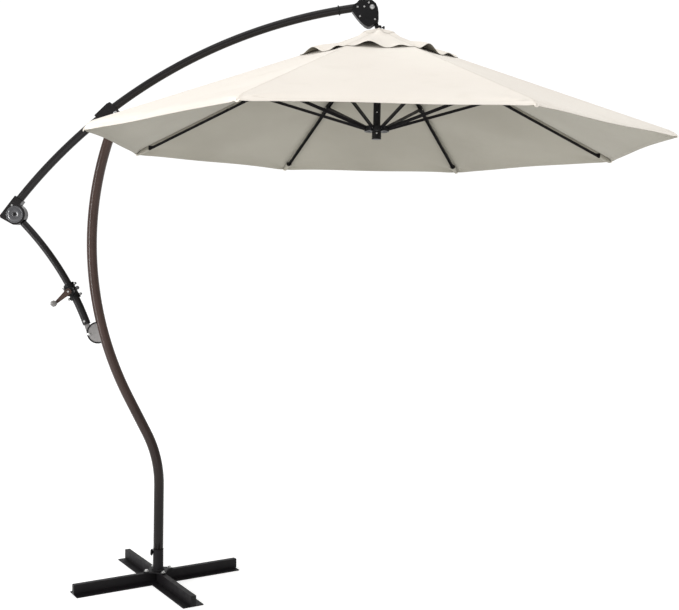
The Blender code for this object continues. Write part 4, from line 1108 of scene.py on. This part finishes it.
# ---- studio
CAMERA_PLACE = (0.90361, -4.69168, 1.55517)
CAMERA_RIGHT = (0.99979478, 0.00933064, 0.01798154)
CAMERA_UP = (-0.01834162, 0.040059, 0.99902896)
LENS_MM = 51.592


def softbox(name, place, aim, width, height, energy):
    light = bpy.data.lights.new(name, "AREA")
    light.shape = "RECTANGLE"
    light.size, light.size_y, light.energy = width, height, energy
    holder = add_object(name, light)
    holder.location = place
    holder.rotation_euler = (Vector(aim) - Vector(place)).to_track_quat("-Z", "Y").to_euler()


def build_studio():
    square = [[(x, y, -0.0002) for x in (-40, 40)] for y in (-40, 40)]
    make("studio_floor", [loft(square, around=False)], studio_floor_finish())

    scene = bpy.context.scene
    scene.view_settings.view_transform = "Standard"
    scene.world = bpy.data.worlds.new("studio")
    scene.world.use_nodes = True
    sky = Wiring(scene.world.node_tree)
    ground = sky.tree.nodes["Background"]
    ground.inputs["Color"].default_value = (1.0, 1.0, 1.0, 1.0)
    # brightest behind the object and overhead, dimmer at the sides and in front
    toward = sky.split(sky.node("TexCoord").outputs["Generated"])
    sides = sky.span(toward["X"], -0.7, 0.7, 0.56, 0.54)
    raised = sky.span(toward["Z"], 0.30, 0.8, sides, 0.86)
    sky.set(ground.inputs["Strength"], sky.span(toward["Y"], 0.55, 0.90, raised, 1.06))

    softbox("strip_left", (-4.6, -3.9, 1.7), (-0.2, 0.0, 1.4), 0.45, 3.2, 160)
    softbox("overhead", (0.6, -1.5, 6.0), (0.6, 0.0, 1.0), 4.5, 4.5, 46)
    softbox("front_fill", (1.6, -6.5, 1.0), (0.5, 0.0, 1.2), 3.0, 2.0, 14)

    lens = bpy.data.cameras.new("camera")
    lens.sensor_width = 36.0
    lens.lens = LENS_MM
    camera = add_object("camera", lens)
    right, up = Vector(CAMERA_RIGHT), Vector(CAMERA_UP)
    turn = Matrix((right, up, right.cross(up))).transposed().to_4x4()
    camera.matrix_world = moved(*CAMERA_PLACE) @ turn
    scene.camera = camera


def studio_floor_finish():
    floor = Finish("pale_studio_floor", 0.75, 0.0, 0.1)
    tone = floor.mix(floor.span(floor.noise(0.6, 3), 0.3, 0.7), (0.90, 0.90, 0.90), (0.94, 0.94, 0.94))
    floor.shader.inputs["Emission Color"].default_value = (1.0, 1.0, 1.0, 1.0)
    floor.shader.inputs["Emission Strength"].default_value = 0.44
    return floor.done(tone)


build_studio()
dress_cad_nodes()
build_base()
build_mast()
build_boom()
build_strut()
build_canopy_frame()
build_canopy()
